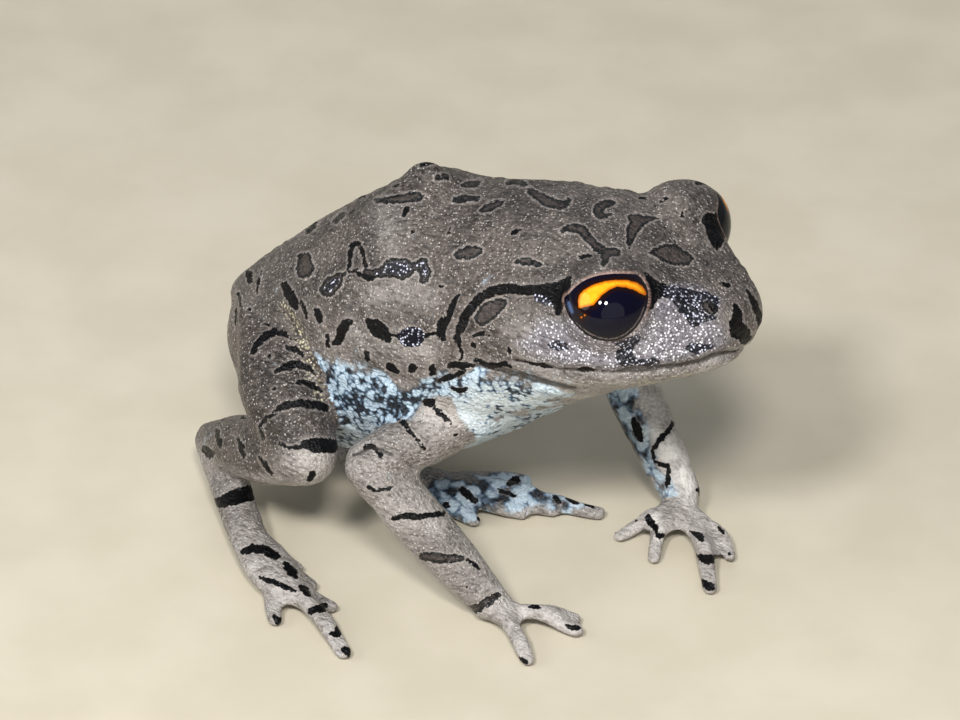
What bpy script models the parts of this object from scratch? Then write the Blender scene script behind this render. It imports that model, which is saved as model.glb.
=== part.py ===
"""Rakhine litter frog, sitting on its hands and feet, modelled whole at life size and parted into
its head, eyes, torso and limb segments by cuts 0.3 mm thin.

The frog faces +X, its left side is at +Y, and it rests on the plane Z = 0.
Sizes and places below are in millimetres; each finished mesh is turned to metres.
"""

import math

import bmesh
import bpy
import numpy as np
from mathutils import Matrix, Vector
from mathutils.bvhtree import BVHTree

# Driving sizes, in millimetres
METRE = 0.001
CUT = 0.3
VOXEL = 0.21
EYE_RADIUS = 2.9
LID_THICKNESS = 0.4
EYE_GAP = 0.25
TRIANGLES = 9200
RING_POINTS = 40
SMOOTH_ROUNDS = 5

# The trunk and head from vent to snout: x, top, height of the widest place, bottom, half width,
# and how square the upper and the lower half of the section are
TRUNK = (
    (-28.2, 13.0, 10.9, 8.9, 1.4, 2.0, 2.0),
    (-27.2, 14.9, 11.0, 7.1, 3.0, 2.0, 2.0),
    (-24.8, 17.3, 11.8, 5.4, 4.7, 2.0, 2.0),
    (-21.0, 20.7, 13.0, 4.5, 6.4, 2.05, 2.0),
    (-17.0, 23.8, 14.2, 4.6, 7.6, 2.1, 2.0),
    (-13.0, 26.3, 15.2, 5.4, 8.2, 2.15, 2.0),
    (-9.0, 26.5, 16.2, 6.9, 8.4, 2.2, 2.0),
    (-5.0, 27.4, 17.8, 9.5, 8.2, 2.25, 1.95),
    (-1.0, 27.7, 19.6, 12.6, 8.3, 2.3, 1.85),
    (3.0, 27.2, 20.6, 15.6, 8.4, 2.35, 1.8),
    (6.0, 26.1, 21.0, 17.3, 7.7, 2.4, 1.8),
    (8.4, 25.3, 21.2, 18.4, 6.2, 2.4, 1.85),
    (10.2, 24.5, 21.3, 19.1, 4.6, 2.4, 1.9),
    (11.4, 23.7, 21.3, 19.8, 2.9, 2.3, 2.0),
    (12.0, 22.7, 21.3, 20.5, 1.2, 2.0, 2.0),
)
TRUNK_STEP = 0.7

# Eyes: centre of the left one, the way the opening faces, the way its long axis points
EYE = (4.35, 5.75, 24.6)
EYE_FACING = (0.24, 0.92, 0.30)
EYE_LENGTHWAYS = (0.925, -0.313, 0.214)
OPENING_LENGTH = 5.5
OPENING_HEIGHT = 4.5
BROW_CENTRE = (4.25, 3.9, 23.35)
BROW_RADII = (4.7, 3.95, 3.8)

# The mouth: height and x of its line at the snout, its fall for each millimetre back, x of its corner
MOUTH_TIP_HEIGHT = 21.0
MOUTH_TIP_X = 12.1
MOUTH_FALL = 0.055
MOUTH_CORNER_X = -2.2
# Its groove, upper lip, lower lip and chin hollow: height above the line, half width, rise
LIPS = ((0.0, 0.26, -0.42), (0.62, 0.38, 0.16), (-0.6, 0.36, 0.12), (-1.6, 0.7, -0.1))

# Relief of the head's left side, each line with its half width and its rise
NOSTRIL = (10.1, 2.45, 24.1)
NOSTRIL_RIM = (0.62, 0.2)
NOSTRIL_PIT = (0.3, -0.62)
SNOUT_RIDGE = ((7.6, 4.6, 25.6), (9.2, 3.5, 25.0), NOSTRIL)
SNOUT_RIDGE_SHAPE = (0.7, 0.22)
HOLLOW_BEFORE_EYE = ((8.6, 5.4, 23.4), (10.0, 3.9, 23.0))
HOLLOW_SHAPE = (1.1, -0.28)
EAR_FOLD = (
    (1.6, 7.3, 25.4), (0.0, 8.0, 25.0), (-1.8, 8.2, 24.6),
    (-3.6, 8.1, 23.6), (-4.7, 8.0, 22.0), (-5.2, 7.9, 20.2),
)
EAR_FOLD_SHAPE = (0.5, 0.34)
EAR_GROOVE_SHAPE = (0.45, -0.16)
EAR_GROOVE_OFFSET = (0.3, 0.0, -0.9)
EARDRUM = (-1.9, 8.3, 22.6)
EARDRUM_RADIUS = 1.25
EARDRUM_SHAPE = (0.3, 0.1)

# Relief of the body
SACRAL_HUMP = (-12.6, 0.0, 27.0)
HUMP_STRETCH = (0.75, 1.0, 0.6)
HUMP_SHAPE = (1.35, 1.3)
ILIUM = ((-13.0, 2.2, 26.2), (-18.0, 3.2, 23.6), (-23.0, 2.6, 20.2))
ILIUM_SHAPE = (1.1, 0.28)
SPINE = ((-13.5, 0.0, 26.6), (-19.0, 0.0, 24.2), (-25.0, 0.0, 19.4))
SPINE_SHAPE = (0.8, -0.24)
FLANK_FOLDS = (
    (((-14.0, 7.9, 20.0), (-13.5, 8.4, 15.5), (-12.4, 6.9, 10.0)), (1.2, 0.14)),
    (((-9.6, 7.9, 20.0), (-9.1, 8.4, 15.5), (-8.0, 6.9, 10.0)), (1.2, 0.1)),
)

# Joints of the limbs, one set for each side, since the pose isn't symmetrical
ARMS = {
    "right": ((-5.2, -4.8, 13.8), (-11.1, -10.3, 10.0), (-2.3, -9.7, 1.5)),
    "left": ((-4.6, 4.8, 13.8), (-3.4, 10.6, 10.1), (3.4, 7.9, 1.7)),
}
LEGS = {
    "right": ((-23.3, -3.3, 13.4), (-16.0, -10.4, 9.4), (-27.6, -3.7, 3.1), (-20.2, -11.2, 1.5)),
    "left": ((-23.3, 3.3, 13.4), (-14.9, 11.3, 9.8), (-26.2, 4.7, 3.0), (-16.6, 0.2, 1.5)),
}
# Palms and the balls of the feet
PALMS = {"right": (-0.9, -9.8, 1.0), "left": (4.1, 6.3, 1.2)}
BALLS = {"right": (-15.6, -14.4, 1.0), "left": (-10.3, 1.6, 1.0)}

# Digits: root, bend, tip and radius at the root
DIGITS = {
    "right_hand": (
        ((-1.4, -9.2, 0.9), (-0.9, -8.7, 0.8), (-0.2, -8.3, 0.5), 0.6),
        ((-0.6, -9.4, 1.0), (1.4, -8.4, 1.0), (3.2, -7.6, 0.5), 0.68),
        ((-0.7, -9.6, 1.2), (1.6, -9.0, 1.25), (3.9, -8.8, 0.52), 0.8),
        ((-0.9, -10.2, 1.0), (0.9, -11.7, 0.95), (2.6, -13.3, 0.52), 0.75),
    ),
    "left_hand": (
        ((3.5, 6.2, 1.2), (2.3, 4.5, 1.1), (1.3, 2.7, 0.52), 0.75),
        ((4.0, 5.8, 1.2), (3.9, 3.4, 1.1), (4.6, 1.4, 0.52), 0.72),
        ((4.6, 5.9, 1.2), (7.2, 3.5, 1.2), (9.6, 0.0, 0.55), 0.8),
        ((4.8, 6.4, 1.2), (7.3, 5.9, 1.1), (9.1, 4.1, 0.52), 0.7),
    ),
    "right_foot": (
        ((-18.2, -11.7, 1.0), (-17.2, -11.6, 0.8), (-16.2, -11.3, 0.5), 0.6),
        ((-17.4, -12.6, 1.0), (-15.9, -12.7, 0.8), (-14.3, -12.7, 0.5), 0.65),
        ((-16.6, -13.6, 1.0), (-14.2, -13.9, 0.8), (-11.9, -14.2, 0.5), 0.7),
        ((-16.2, -14.4, 1.0), (-12.4, -15.5, 1.0), (-8.6, -18.4, 0.52), 0.85),
        ((-16.4, -14.8, 1.0), (-15.6, -16.0, 0.9), (-14.5, -17.4, 0.52), 0.75),
    ),
    "left_foot": (
        ((-12.8, 0.4, 1.0), (-10.4, -0.2, 0.9), (-8.4, -0.5, 0.5), 0.7),
        ((-11.4, 1.0, 1.0), (-8.4, 1.4, 0.9), (-5.9, 1.9, 0.5), 0.7),
        ((-10.9, 1.8, 1.0), (-7.6, 2.5, 0.9), (-4.2, 3.2, 0.5), 0.7),
        ((-10.8, 2.4, 1.1), (-5.8, 3.6, 1.05), (-1.3, 4.5, 0.55), 0.85),
        ((-11.2, 3.0, 1.0), (-9.4, 4.2, 0.9), (-7.6, 5.6, 0.52), 0.75),
    ),
}
TIP_TAPER = 0.72

# Plates that part the segments. A place or slope is the left one's, and a pair is half the plate's size
NECK_PLACE = (-1.9, 0.0, 19.8)
NECK_SLOPE = (0.972, 0.0, 0.235)
NECK_PLATE = (10.5, 11.0)
HIP_PLACE = (-20.9, 5.6, 12.6)
HIP_SLOPE = (-0.358, 0.934, -0.1)
HIP_PLATE = (9.0, 8.0)
KNEE_BACK = 4.2
KNEE_PLATE = (8.0, 4.9)
ANKLE_BACK = 2.6
ANKLE_PLATE = (5.6, 2.9)
ELBOW_BACK = 1.0
ELBOW_PLATE = (3.2, 2.6)
SMALL_PLATE = (2.2, 2.2)
# How far down the upper arm it is parted from the trunk, one value for each side
SHOULDER_CUT = {"right": 4.5, "left": 3.9}
SHOULDER_PLATE = {"right": (6.4, 4.6), "left": (4.8, 3.9)}
SHOULDER_SLOPE = {"right": (0.2, -0.8, -0.56), "left": (0.1, 0.9, -0.5)}

# Half widths of the limb segments from root to end
UPPER_ARM = (2.3, 2.1, 1.75)
FOREARM = (1.75, 1.9, 1.75, 1.4)
THIGH = (2.6, 3.1, 3.0, 2.2)
SHANK = (2.1, 2.45, 2.2, 1.35)
TARSUS = (1.3, 1.4, 1.3)
METATARSUS = (1.4, 1.75, 1.6)
PALM = (1.3, 1.25)
# Height of a segment for each width of it
PALM_FLATNESS = 0.72
TARSUS_FLATNESS = 0.95
FOOT_FLATNESS = 0.62
DIGIT_FLATNESS = 0.92

SKIN = {
    "head": ((0.21, 0.18, 0.165), 0.42),
    "torso": ((0.20, 0.17, 0.155), 0.45),
    "upper_arm": ((0.24, 0.21, 0.195), 0.45),
    "forearm": ((0.26, 0.23, 0.215), 0.45),
    "hand": ((0.36, 0.34, 0.335), 0.48),
    "thigh": ((0.21, 0.18, 0.165), 0.45),
    "shank": ((0.22, 0.19, 0.175), 0.45),
    "tarsus": ((0.25, 0.22, 0.205), 0.48),
    "foot": ((0.34, 0.32, 0.315), 0.48),
    "eye": ((0.008, 0.009, 0.018), 0.06),
}


def clear_scene():
    for thing in list(bpy.data.objects):
        bpy.data.objects.remove(thing, do_unlink=True)


def new_collection(name):
    made = bpy.data.collections.new(name)
    bpy.context.scene.collection.children.link(made)
    return made


def object_from(bm, name, collection):
    """Put a finished bmesh in a new object of this collection"""
    bmesh.ops.recalc_face_normals(bm, faces=bm.faces)
    mesh = bpy.data.meshes.new(name)
    bm.to_mesh(mesh)
    bm.free()
    made = bpy.data.objects.new(name, mesh)
    collection.objects.link(made)
    return made


def curve_through(points, count):
    """Points along a smooth curve through the given ones, a Catmull-Rom spline run straight at its ends"""
    known = np.array(points, dtype=float)
    ahead = np.vstack([2 * known[0] - known[1], known, 2 * known[-1] - known[-2]])
    out = []
    for t in np.linspace(0, len(known) - 1, count):
        i = min(int(t), len(known) - 2)
        f = t - i
        a, b, c, d = ahead[i:i + 4]
        out.append(0.5 * (2 * b + (c - a) * f + (2 * a - 5 * b + 4 * c - d) * f**2
                          + (3 * b - a - 3 * c + d) * f**3))
    return np.array(out)


def spread(values, count):
    """The same number of values, read off a line through a few, at even steps"""
    return np.interp(np.linspace(0, len(values) - 1, count), range(len(values)), values)


def loft(name, rings, collection):
    """A closed form through rings of points, with a flat cap at both ends"""
    bm = bmesh.new()
    loops = [[bm.verts.new(point) for point in ring] for ring in rings]
    for near, far in zip(loops, loops[1:]):
        for i in range(len(near)):
            j = (i + 1) % len(near)
            bm.faces.new((near[i], near[j], far[j], far[i]))
    bm.faces.new(loops[0])
    bm.faces.new(loops[-1])
    return object_from(bm, name, collection)


def section(x, top, middle, bottom, half, square_up, square_down):
    """One ring across the trunk: a superellipse whose halves meet at the widest place"""
    ring = []
    for i in range(RING_POINTS):
        turn = 2 * math.pi * i / RING_POINTS
        across, up = math.cos(turn), math.sin(turn)
        power = 2 / (square_up if up > 0 else square_down)
        reach = top - middle if up > 0 else middle - bottom
        ring.append((x,
                     half * math.copysign(abs(across)**power, across),
                     middle + reach * math.copysign(abs(up)**power, up)))
    return ring


def trunk(collection):
    """Head and trunk in one loft; its stations are read off smooth curves along the body"""
    count = int((TRUNK[-1][0] - TRUNK[0][0]) / TRUNK_STEP)
    stations = curve_through(TRUNK, count)
    return loft("trunk", [section(*station) for station in stations], collection)


def ellipsoid(name, centre, radii, collection, turn=None):
    bm = bmesh.new()
    bmesh.ops.create_uvsphere(bm, u_segments=26, v_segments=16, radius=1.0)
    shape = Matrix.Diagonal((*radii, 1.0))
    place = Matrix.Translation(centre) @ (turn or Matrix()) @ shape
    bmesh.ops.transform(bm, matrix=place, verts=bm.verts)
    return object_from(bm, name, collection)


def limb(name, points, halves, collection, flat=1.0, steps=26):
    """A tapering tube along a smooth path, with round ends; flat is its height over its width"""
    path = curve_through(points, steps)
    radii = spread(halves, steps)
    rings = []
    for i, (place, radius) in enumerate(zip(path, radii)):
        along = Vector(path[min(i + 1, steps - 1)] - path[max(i - 1, 0)]).normalized()
        side = along.cross(Vector((0, 0, 1))).normalized()
        up = side.cross(along)
        rings.append([Vector(place)
                      + side * (radius * math.cos(2 * math.pi * k / 24))
                      + up * (radius * flat * math.sin(2 * math.pi * k / 24)) for k in range(24)])
    loft(name, rings, collection)
    for end, radius in ((path[0], radii[0]), (path[-1], radii[-1])):
        ellipsoid(name + "_end", end, (radius, radius, radius * flat), collection)


def arm(side, collection):
    shoulder, elbow, wrist = ARMS[side]
    palm = PALMS[side]
    limb(side + "_upper_arm", (shoulder, elbow), UPPER_ARM, collection)
    limb(side + "_forearm", (elbow, wrist), FOREARM, collection)
    limb(side + "_palm", (wrist, palm), PALM, collection, flat=PALM_FLATNESS)


def leg(side, collection):
    hip, knee, ankle, instep = LEGS[side]
    out = -1 if side == "right" else 1
    middle = (Vector(hip) + Vector(knee)) / 2 + Vector((0, 0.2 * out, 0.4))
    limb(side + "_thigh", (hip, middle, knee), THIGH, collection)
    calf = (Vector(knee) + Vector(ankle)) / 2 + Vector((0, 0.4 * out, 0.1))
    limb(side + "_shank", (knee, calf, ankle), SHANK, collection)
    limb(side + "_tarsus", (ankle, instep), TARSUS, collection, flat=TARSUS_FLATNESS)
    limb(side + "_metatarsus", (instep, BALLS[side]), METATARSUS, collection, flat=FOOT_FLATNESS)


def digits(place, collection):
    for number, (root, bend, tip, radius) in enumerate(DIGITS[place]):
        name = f"{place}_digit_{number + 1}"
        halves = (radius, radius * 0.92, radius * 0.95, radius * TIP_TAPER)
        limb(name, (root, bend, tip), halves, collection, flat=DIGIT_FLATNESS, steps=20)


def join(collection, name):
    """Make one object of a collection's objects and remesh it into one closed skin"""
    bpy.ops.object.select_all(action="DESELECT")
    first = collection.objects[0]
    for piece in collection.objects:
        piece.select_set(True)
    bpy.context.view_layer.objects.active = first
    bpy.ops.object.join()
    first.name = name
    first.data.name = name
    remesh = first.modifiers.new("skin", "REMESH")
    remesh.mode = "VOXEL"
    remesh.voxel_size = VOXEL
    apply_all(first)
    return first


def apply_all(thing):
    """Replace an object's mesh by what its modifiers make of it"""
    bpy.context.view_layer.update()
    graph = bpy.context.evaluated_depsgraph_get()
    made = bpy.data.meshes.new_from_object(thing.evaluated_get(graph))
    thing.modifiers.clear()
    old = thing.data
    thing.data = made
    bpy.data.meshes.remove(old)


def places_of(mesh):
    flat = np.empty(len(mesh.vertices) * 3, dtype=np.float32)
    mesh.vertices.foreach_get("co", flat)
    return flat.reshape(-1, 3).astype(float)


def normals_of(mesh):
    flat = np.empty(len(mesh.vertices) * 3, dtype=np.float32)
    mesh.vertex_normals.foreach_get("vector", flat)
    return flat.reshape(-1, 3).astype(float)


def put_places(mesh, places):
    mesh.vertices.foreach_set("co", places.astype(np.float32).ravel())
    mesh.update()


def relax(mesh, rounds, amount):
    """Even out the surface without shrinking it: each round pulls in, then pushes back"""
    places = places_of(mesh)
    ends = np.empty(len(mesh.edges) * 2, dtype=np.int32)
    mesh.edges.foreach_get("vertices", ends)
    a, b = ends.reshape(-1, 2).T
    degree = np.bincount(ends, minlength=len(places))[:, None]
    for _ in range(rounds):
        for pull in (0.5, -0.52):
            total = np.empty_like(places)
            for axis in range(3):
                total[:, axis] = (np.bincount(a, places[b, axis], len(places))
                                  + np.bincount(b, places[a, axis], len(places)))
            places += pull * amount[:, None] * (total / degree - places)
    put_places(mesh, places)


def distance_to(line, places):
    """Distance of each place to a line of straight pieces"""
    line = np.array(line, dtype=float)
    best = np.full(len(places), 1e9)
    for start, end in zip(line, line[1:]):
        along = end - start
        t = np.clip((places - start) @ along / (along @ along), 0, 1)
        best = np.minimum(best, np.linalg.norm(places - start - t[:, None] * along, axis=1))
    return best


def bell(distance, reach):
    return np.exp(-(distance / reach)**2)


def step(low, high, value):
    t = np.clip((value - low) / (high - low), 0, 1)
    return t * t * (3 - 2 * t)


def mouth_height(x):
    return MOUTH_TIP_HEIGHT - MOUTH_FALL * (MOUTH_TIP_X - x)


def model_mouth(places, normals):
    """The closed mouth: a groove between a fuller upper lip and the rim of the lower jaw"""
    above = places[:, 2] - mouth_height(places[:, 0])
    sides = step(MOUTH_CORNER_X - 0.6, MOUTH_CORNER_X + 0.6, places[:, 0])
    outside = step(0.0, 0.4, np.abs(normals[:, 1]) + np.maximum(normals[:, 0], 0))
    depth = sum(rise * bell(above - height, reach) for height, reach, rise in LIPS)
    places += normals * (sides * outside * depth)[:, None]


def raise_along(line, shape, places, normals):
    """Raise or press the surface along a line and along its mirror image"""
    reach, rise = shape
    for side in (-1, 1):
        one_side = [(x, y * side, z) for x, y, z in line]
        places += normals * (rise * bell(distance_to(one_side, places), reach))[:, None]


def model_head(places, normals):
    """Snout ridges, nostrils, the fold over the eardrum, the eardrum and the hollow before the eye"""
    x, y, z = NOSTRIL
    raise_along(SNOUT_RIDGE, SNOUT_RIDGE_SHAPE, places, normals)
    raise_along(HOLLOW_BEFORE_EYE, HOLLOW_SHAPE, places, normals)
    raise_along((NOSTRIL, (x + 0.05, y, z)), NOSTRIL_RIM, places, normals)
    raise_along((NOSTRIL, (x + 0.15, y + 0.1, z)), NOSTRIL_PIT, places, normals)
    raise_along(EAR_FOLD, EAR_FOLD_SHAPE, places, normals)
    groove = [Vector(point) + Vector(EAR_GROOVE_OFFSET) for point in EAR_FOLD]
    raise_along(groove, EAR_GROOVE_SHAPE, places, normals)
    ring = [Vector(EARDRUM) + EARDRUM_RADIUS * Vector((math.cos(t), 0.0, math.sin(t)))
            for t in np.linspace(0, 2 * math.pi, 17)]
    raise_along(ring, EARDRUM_SHAPE, places, normals)


def model_body(places, normals):
    """The hump over the hips, the ridges of the hip bones, the groove between and faint flank folds"""
    reach, rise = HUMP_SHAPE
    hump = np.linalg.norm((places - np.array(SACRAL_HUMP)) * HUMP_STRETCH, axis=1)
    places += normals * (rise * bell(hump, reach))[:, None]
    raise_along(ILIUM, ILIUM_SHAPE, places, normals)
    spine_reach, spine_rise = SPINE_SHAPE
    places += normals * (spine_rise * bell(distance_to(SPINE, places), spine_reach))[:, None]
    for fold, shape in FLANK_FOLDS:
        raise_along(fold, shape, places, normals)


def thin_mesh(thing, target):
    """Fewer triangles, kept densest where the surface turns most"""
    triangles = sum(len(face.vertices) - 2 for face in thing.data.polygons)
    fewer = thing.modifiers.new("fewer", "DECIMATE")
    fewer.ratio = target / triangles
    fewer.use_collapse_triangulate = True
    apply_all(thing)


def eye_frame(side):
    """Turn from the eye's own axes to the head's: its opening faces its own +Z"""
    mirror = Vector((1, 1 if side == "left" else -1, 1))
    facing = (Vector(EYE_FACING) * mirror).normalized()
    sideways = Vector(EYE_LENGTHWAYS) * mirror
    sideways = (sideways - facing * sideways.dot(facing)).normalized()
    upright = facing.cross(sideways)
    turn = Matrix((sideways, upright, facing)).transposed().to_4x4()
    return Vector(EYE) * mirror, turn


def lid(side, collection):
    """The flesh round the eyeball: a ball a lid thicker than the eye, sunk in the head"""
    centre, turn = eye_frame(side)
    radius = EYE_RADIUS + EYE_GAP + LID_THICKNESS
    ellipsoid(side + "_lid", centre, (radius, radius, radius), collection, turn)
    mirror = Vector((1, 1 if side == "left" else -1, 1))
    ellipsoid(side + "_brow", Vector(BROW_CENTRE) * mirror, BROW_RADII, collection)


def eye_cutters(side, collection):
    """The socket, and the almond opening between the lids"""
    centre, turn = eye_frame(side)
    socket = EYE_RADIUS + EYE_GAP
    ellipsoid(side + "_socket", centre, (socket, socket, socket), collection, turn)
    almond = []
    for i in range(RING_POINTS):
        t = 2 * math.pi * i / RING_POINTS
        across = 0.5 * OPENING_LENGTH * math.cos(t)
        up = 0.5 * OPENING_HEIGHT * math.copysign(abs(math.sin(t))**1.25, math.sin(t))
        almond.append((across, up))
    rings = [[centre + turn @ Vector((x * grow, y * grow, z)) for x, y in almond]
             for z, grow in ((0.9, 0.9), (5.2, 1.12))]
    loft(side + "_opening", rings, collection)


def slab(name, centre, normal, half_sizes, collection, along=None):
    """A thin oval plate that parts two segments: its half sizes along and across, and CUT thick"""
    normal = Vector(normal).normalized()
    along = Vector(along or (0.31, 0.87, 0.38))
    along = (along - normal * along.dot(normal)).normalized()
    across = normal.cross(along)
    turn = Matrix((along, across, normal)).transposed().to_4x4()
    bm = bmesh.new()
    bmesh.ops.create_cone(bm, cap_ends=True, segments=28, radius1=1.0, radius2=1.0, depth=2.0)
    shape = Matrix.Diagonal((half_sizes[0], half_sizes[1], CUT / 2, 1.0))
    bmesh.ops.transform(bm, matrix=Matrix.Translation(centre) @ turn @ shape, verts=bm.verts)
    return object_from(bm, name, collection)


def fold_slab(name, root, joint, end, back, half_sizes, collection):
    """The plate in the fold of a bent joint, between the segment that comes in and the one that
    goes out; back is how far its middle lies from the joint into the fold"""
    coming = (Vector(root) - Vector(joint)).normalized()
    going = (Vector(end) - Vector(joint)).normalized()
    into = (coming + going).normalized()
    slab(name, Vector(joint) + into * back, coming - going, half_sizes, collection, along=into)


def cut_slabs(collection):
    """All the plates that part one segment from the next"""
    slab("neck_cut", NECK_PLACE, NECK_SLOPE, NECK_PLATE, collection, along=(0, 1, 0))
    for side in ("right", "left"):
        mirror = Vector((1, -1 if side == "right" else 1, 1))
        hip, knee, ankle, instep = LEGS[side]
        shoulder, elbow, wrist = ARMS[side]
        hip_slope = Vector(HIP_SLOPE) * mirror
        slab(side + "_hip_cut", Vector(HIP_PLACE) * mirror, hip_slope, HIP_PLATE, collection,
             along=hip_slope.cross((0, 0, 1)))
        fold_slab(side + "_knee_cut", hip, knee, ankle, KNEE_BACK, KNEE_PLATE, collection)
        fold_slab(side + "_ankle_cut", knee, ankle, instep, ANKLE_BACK, ANKLE_PLATE, collection)
        heel_to_toe = (Vector(BALLS[side]) - Vector(ankle)).normalized()
        slab(side + "_instep_cut", instep, heel_to_toe, SMALL_PLATE, collection)
        reach = Vector(elbow) - Vector(shoulder)
        root = Vector(shoulder) + reach.normalized() * SHOULDER_CUT[side]
        slab(side + "_shoulder_cut", root, SHOULDER_SLOPE[side], SHOULDER_PLATE[side], collection,
             along=reach)
        fold_slab(side + "_elbow_cut", shoulder, elbow, wrist, ELBOW_BACK, ELBOW_PLATE, collection)
        slab(side + "_wrist_cut", wrist, Vector(elbow) - Vector(wrist), SMALL_PLATE, collection)


def floor_block(collection):
    """Everything under the floor, to leave small flats where the frog rests"""
    bm = bmesh.new()
    bmesh.ops.create_cube(bm, size=2.0)
    shape = Matrix.Translation((-9, 0, -4)) @ Matrix.Diagonal((40, 40, 4, 1))
    bmesh.ops.transform(bm, matrix=shape, verts=bm.verts)
    return object_from(bm, "floor_block", collection)


def cut_by(thing, cutters):
    """Take each of a collection's cutters from an object"""
    for cutter in cutters.objects:
        cut = thing.modifiers.new(cutter.name, "BOOLEAN")
        cut.operation = "DIFFERENCE"
        cut.solver = "EXACT"
        cut.object = cutter
    apply_all(thing)


def centres():
    """A place inside each segment, to tell the cut pieces apart"""
    places = {"head": (7.0, 0.0, 21.5), "torso": (-11.0, 0.0, 16.0)}
    for side in ("right", "left"):
        hip, knee, ankle, instep = LEGS[side]
        shoulder, elbow, wrist = ARMS[side]
        joints = {"upper_arm": (shoulder, elbow, 0.72), "forearm": (elbow, wrist, 0.5),
                  "hand": (wrist, PALMS[side], 0.9), "thigh": (hip, knee, 0.62),
                  "shank": (knee, ankle, 0.5), "tarsus": (ankle, instep, 0.55),
                  "foot": (instep, BALLS[side], 0.6)}
        for part, (start, end, share) in joints.items():
            places[f"{side}_{part}"] = tuple(Vector(start).lerp(Vector(end), share))
    return places


def part_segments(body, collection):
    """Separate the loose pieces and name each by the segment whose middle it holds"""
    bpy.ops.object.select_all(action="DESELECT")
    body.select_set(True)
    bpy.context.view_layer.objects.active = body
    bpy.ops.mesh.separate(type="LOOSE")
    pieces = {thing: tree_of(thing) for thing in collection.objects if thing.type == "MESH"}
    named = {}
    for name, place in centres().items():
        named[name] = next(piece for piece in pieces if holds(pieces[piece], place))
    for piece in pieces:
        if piece not in named.values():
            bpy.data.objects.remove(piece, do_unlink=True)
    for name, piece in named.items():
        piece.name = name
        piece.data.name = name
    return named


def tree_of(thing):
    shape = bmesh.new()
    shape.from_mesh(thing.data)
    tree = BVHTree.FromBMesh(shape)
    shape.free()
    return tree


def holds(tree, place):
    """Whether a place is inside a closed surface: a line from it leaves an odd number of times"""
    onward = Vector((0.13, 0.21, 0.97)).normalized()
    crossings = 0
    at = Vector(place)
    while True:
        hit = tree.ray_cast(at, onward)[0]
        if hit is None:
            return crossings % 2 == 1
        crossings += 1
        at = hit + onward * 1e-4


def eyeball(side, collection):
    centre, turn = eye_frame(side)
    return ellipsoid(side + "_eye", centre, (EYE_RADIUS,) * 3, collection, turn)


def paint(thing):
    kind = thing.name.removeprefix("right_").removeprefix("left_")
    colour, roughness = SKIN[kind]
    material = bpy.data.materials.new(thing.name + " surface")
    material.use_nodes = True
    shader = material.node_tree.nodes["Principled BSDF"]
    shader.inputs["Base Color"].default_value = (*colour, 1.0)
    shader.inputs["Roughness"].default_value = roughness
    shader.inputs["Metallic"].default_value = 0.0
    thing.data.materials.clear()
    thing.data.materials.append(material)


def pivots():
    """Where each node has its origin, and which node it hangs from"""
    spots = {"torso": (None, (-12.0, 0.0, 15.0)), "head": ("torso", (-2.0, 0.0, 20.0))}
    for side in ("right", "left"):
        hip, knee, ankle, instep = LEGS[side]
        shoulder, elbow, wrist = ARMS[side]
        spots[side + "_eye"] = ("head", tuple(eye_frame(side)[0]))
        spots[side + "_upper_arm"] = ("torso", shoulder)
        spots[side + "_forearm"] = (side + "_upper_arm", elbow)
        spots[side + "_hand"] = (side + "_forearm", wrist)
        spots[side + "_thigh"] = ("torso", hip)
        spots[side + "_shank"] = (side + "_thigh", knee)
        spots[side + "_tarsus"] = (side + "_shank", ankle)
        spots[side + "_foot"] = (side + "_tarsus", instep)
    return spots


def floor_middle(named):
    """The place on the floor under the middle of the whole frog's box"""
    places = np.vstack([places_of(thing.data) for thing in named.values()])
    middle = (places.min(axis=0) + places.max(axis=0)) / 2
    return Vector((middle[0], middle[1], 0.0))


def place_nodes(named, origin, collection):
    """Turn each mesh to metres about its own joint and hang it from its parent"""
    root = bpy.data.objects.new("frog", None)
    collection.objects.link(root)
    spots = pivots()
    for name, (parent, spot) in spots.items():
        thing = named[name]
        at = Vector(spot)
        above = Vector(spots[parent][1]) if parent else origin
        thing.data.transform(Matrix.Scale(METRE, 4) @ Matrix.Translation(-at))
        thing.parent = named[parent] if parent else root
        thing.location = (at - above) * METRE
        thing.data.shade_smooth()
        thing.data.set_sharp_from_angle(angle=math.radians(50))
        paint(thing)


def build():
    clear_scene()
    parts = new_collection("rakhine litter frog")
    cutters = new_collection("cutters")
    trunk(parts)
    for side in ("right", "left"):
        lid(side, parts)
        arm(side, parts)
        leg(side, parts)
    for place in DIGITS:
        digits(place, parts)
    body = join(parts, "body")
    places = places_of(body.data)
    relax(body.data, SMOOTH_ROUNDS, 0.35 + 0.65 * step(1.2, 3.5, places[:, 2]))
    places = places_of(body.data)
    normals = normals_of(body.data)
    model_body(places, normals)
    model_head(places, normals)
    model_mouth(places, normals)
    put_places(body.data, places)
    thin_mesh(body, TRIANGLES)
    for side in ("right", "left"):
        eye_cutters(side, cutters)
    cut_slabs(cutters)
    floor_block(cutters)
    cut_by(body, cutters)
    named = part_segments(body, parts)
    for side in ("right", "left"):
        named[side + "_eye"] = eyeball(side, parts)
    origin = floor_middle(named)
    place_nodes(named, origin, parts)
    for cutter in cutters.objects:
        cutter.data.transform(Matrix.Scale(METRE, 4) @ Matrix.Translation(-origin))
        cutter.hide_render = True
        cutter.display_type = "WIRE"


build()
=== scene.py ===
# %% [markdown]
# # A litter frog at life size
# The solids of a small forest frog are already built, one for each part of the body. This lesson dresses
# them: one skin over the whole animal, wet eyes behind their lids, and the black marks of its coat. The
# first step loads those solids as a fixed frame, in metres.

# %% Load the frame
import math

import bpy
import numpy as np
from mathutils import Matrix, Vector
from mathutils.bvhtree import BVHTree


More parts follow.
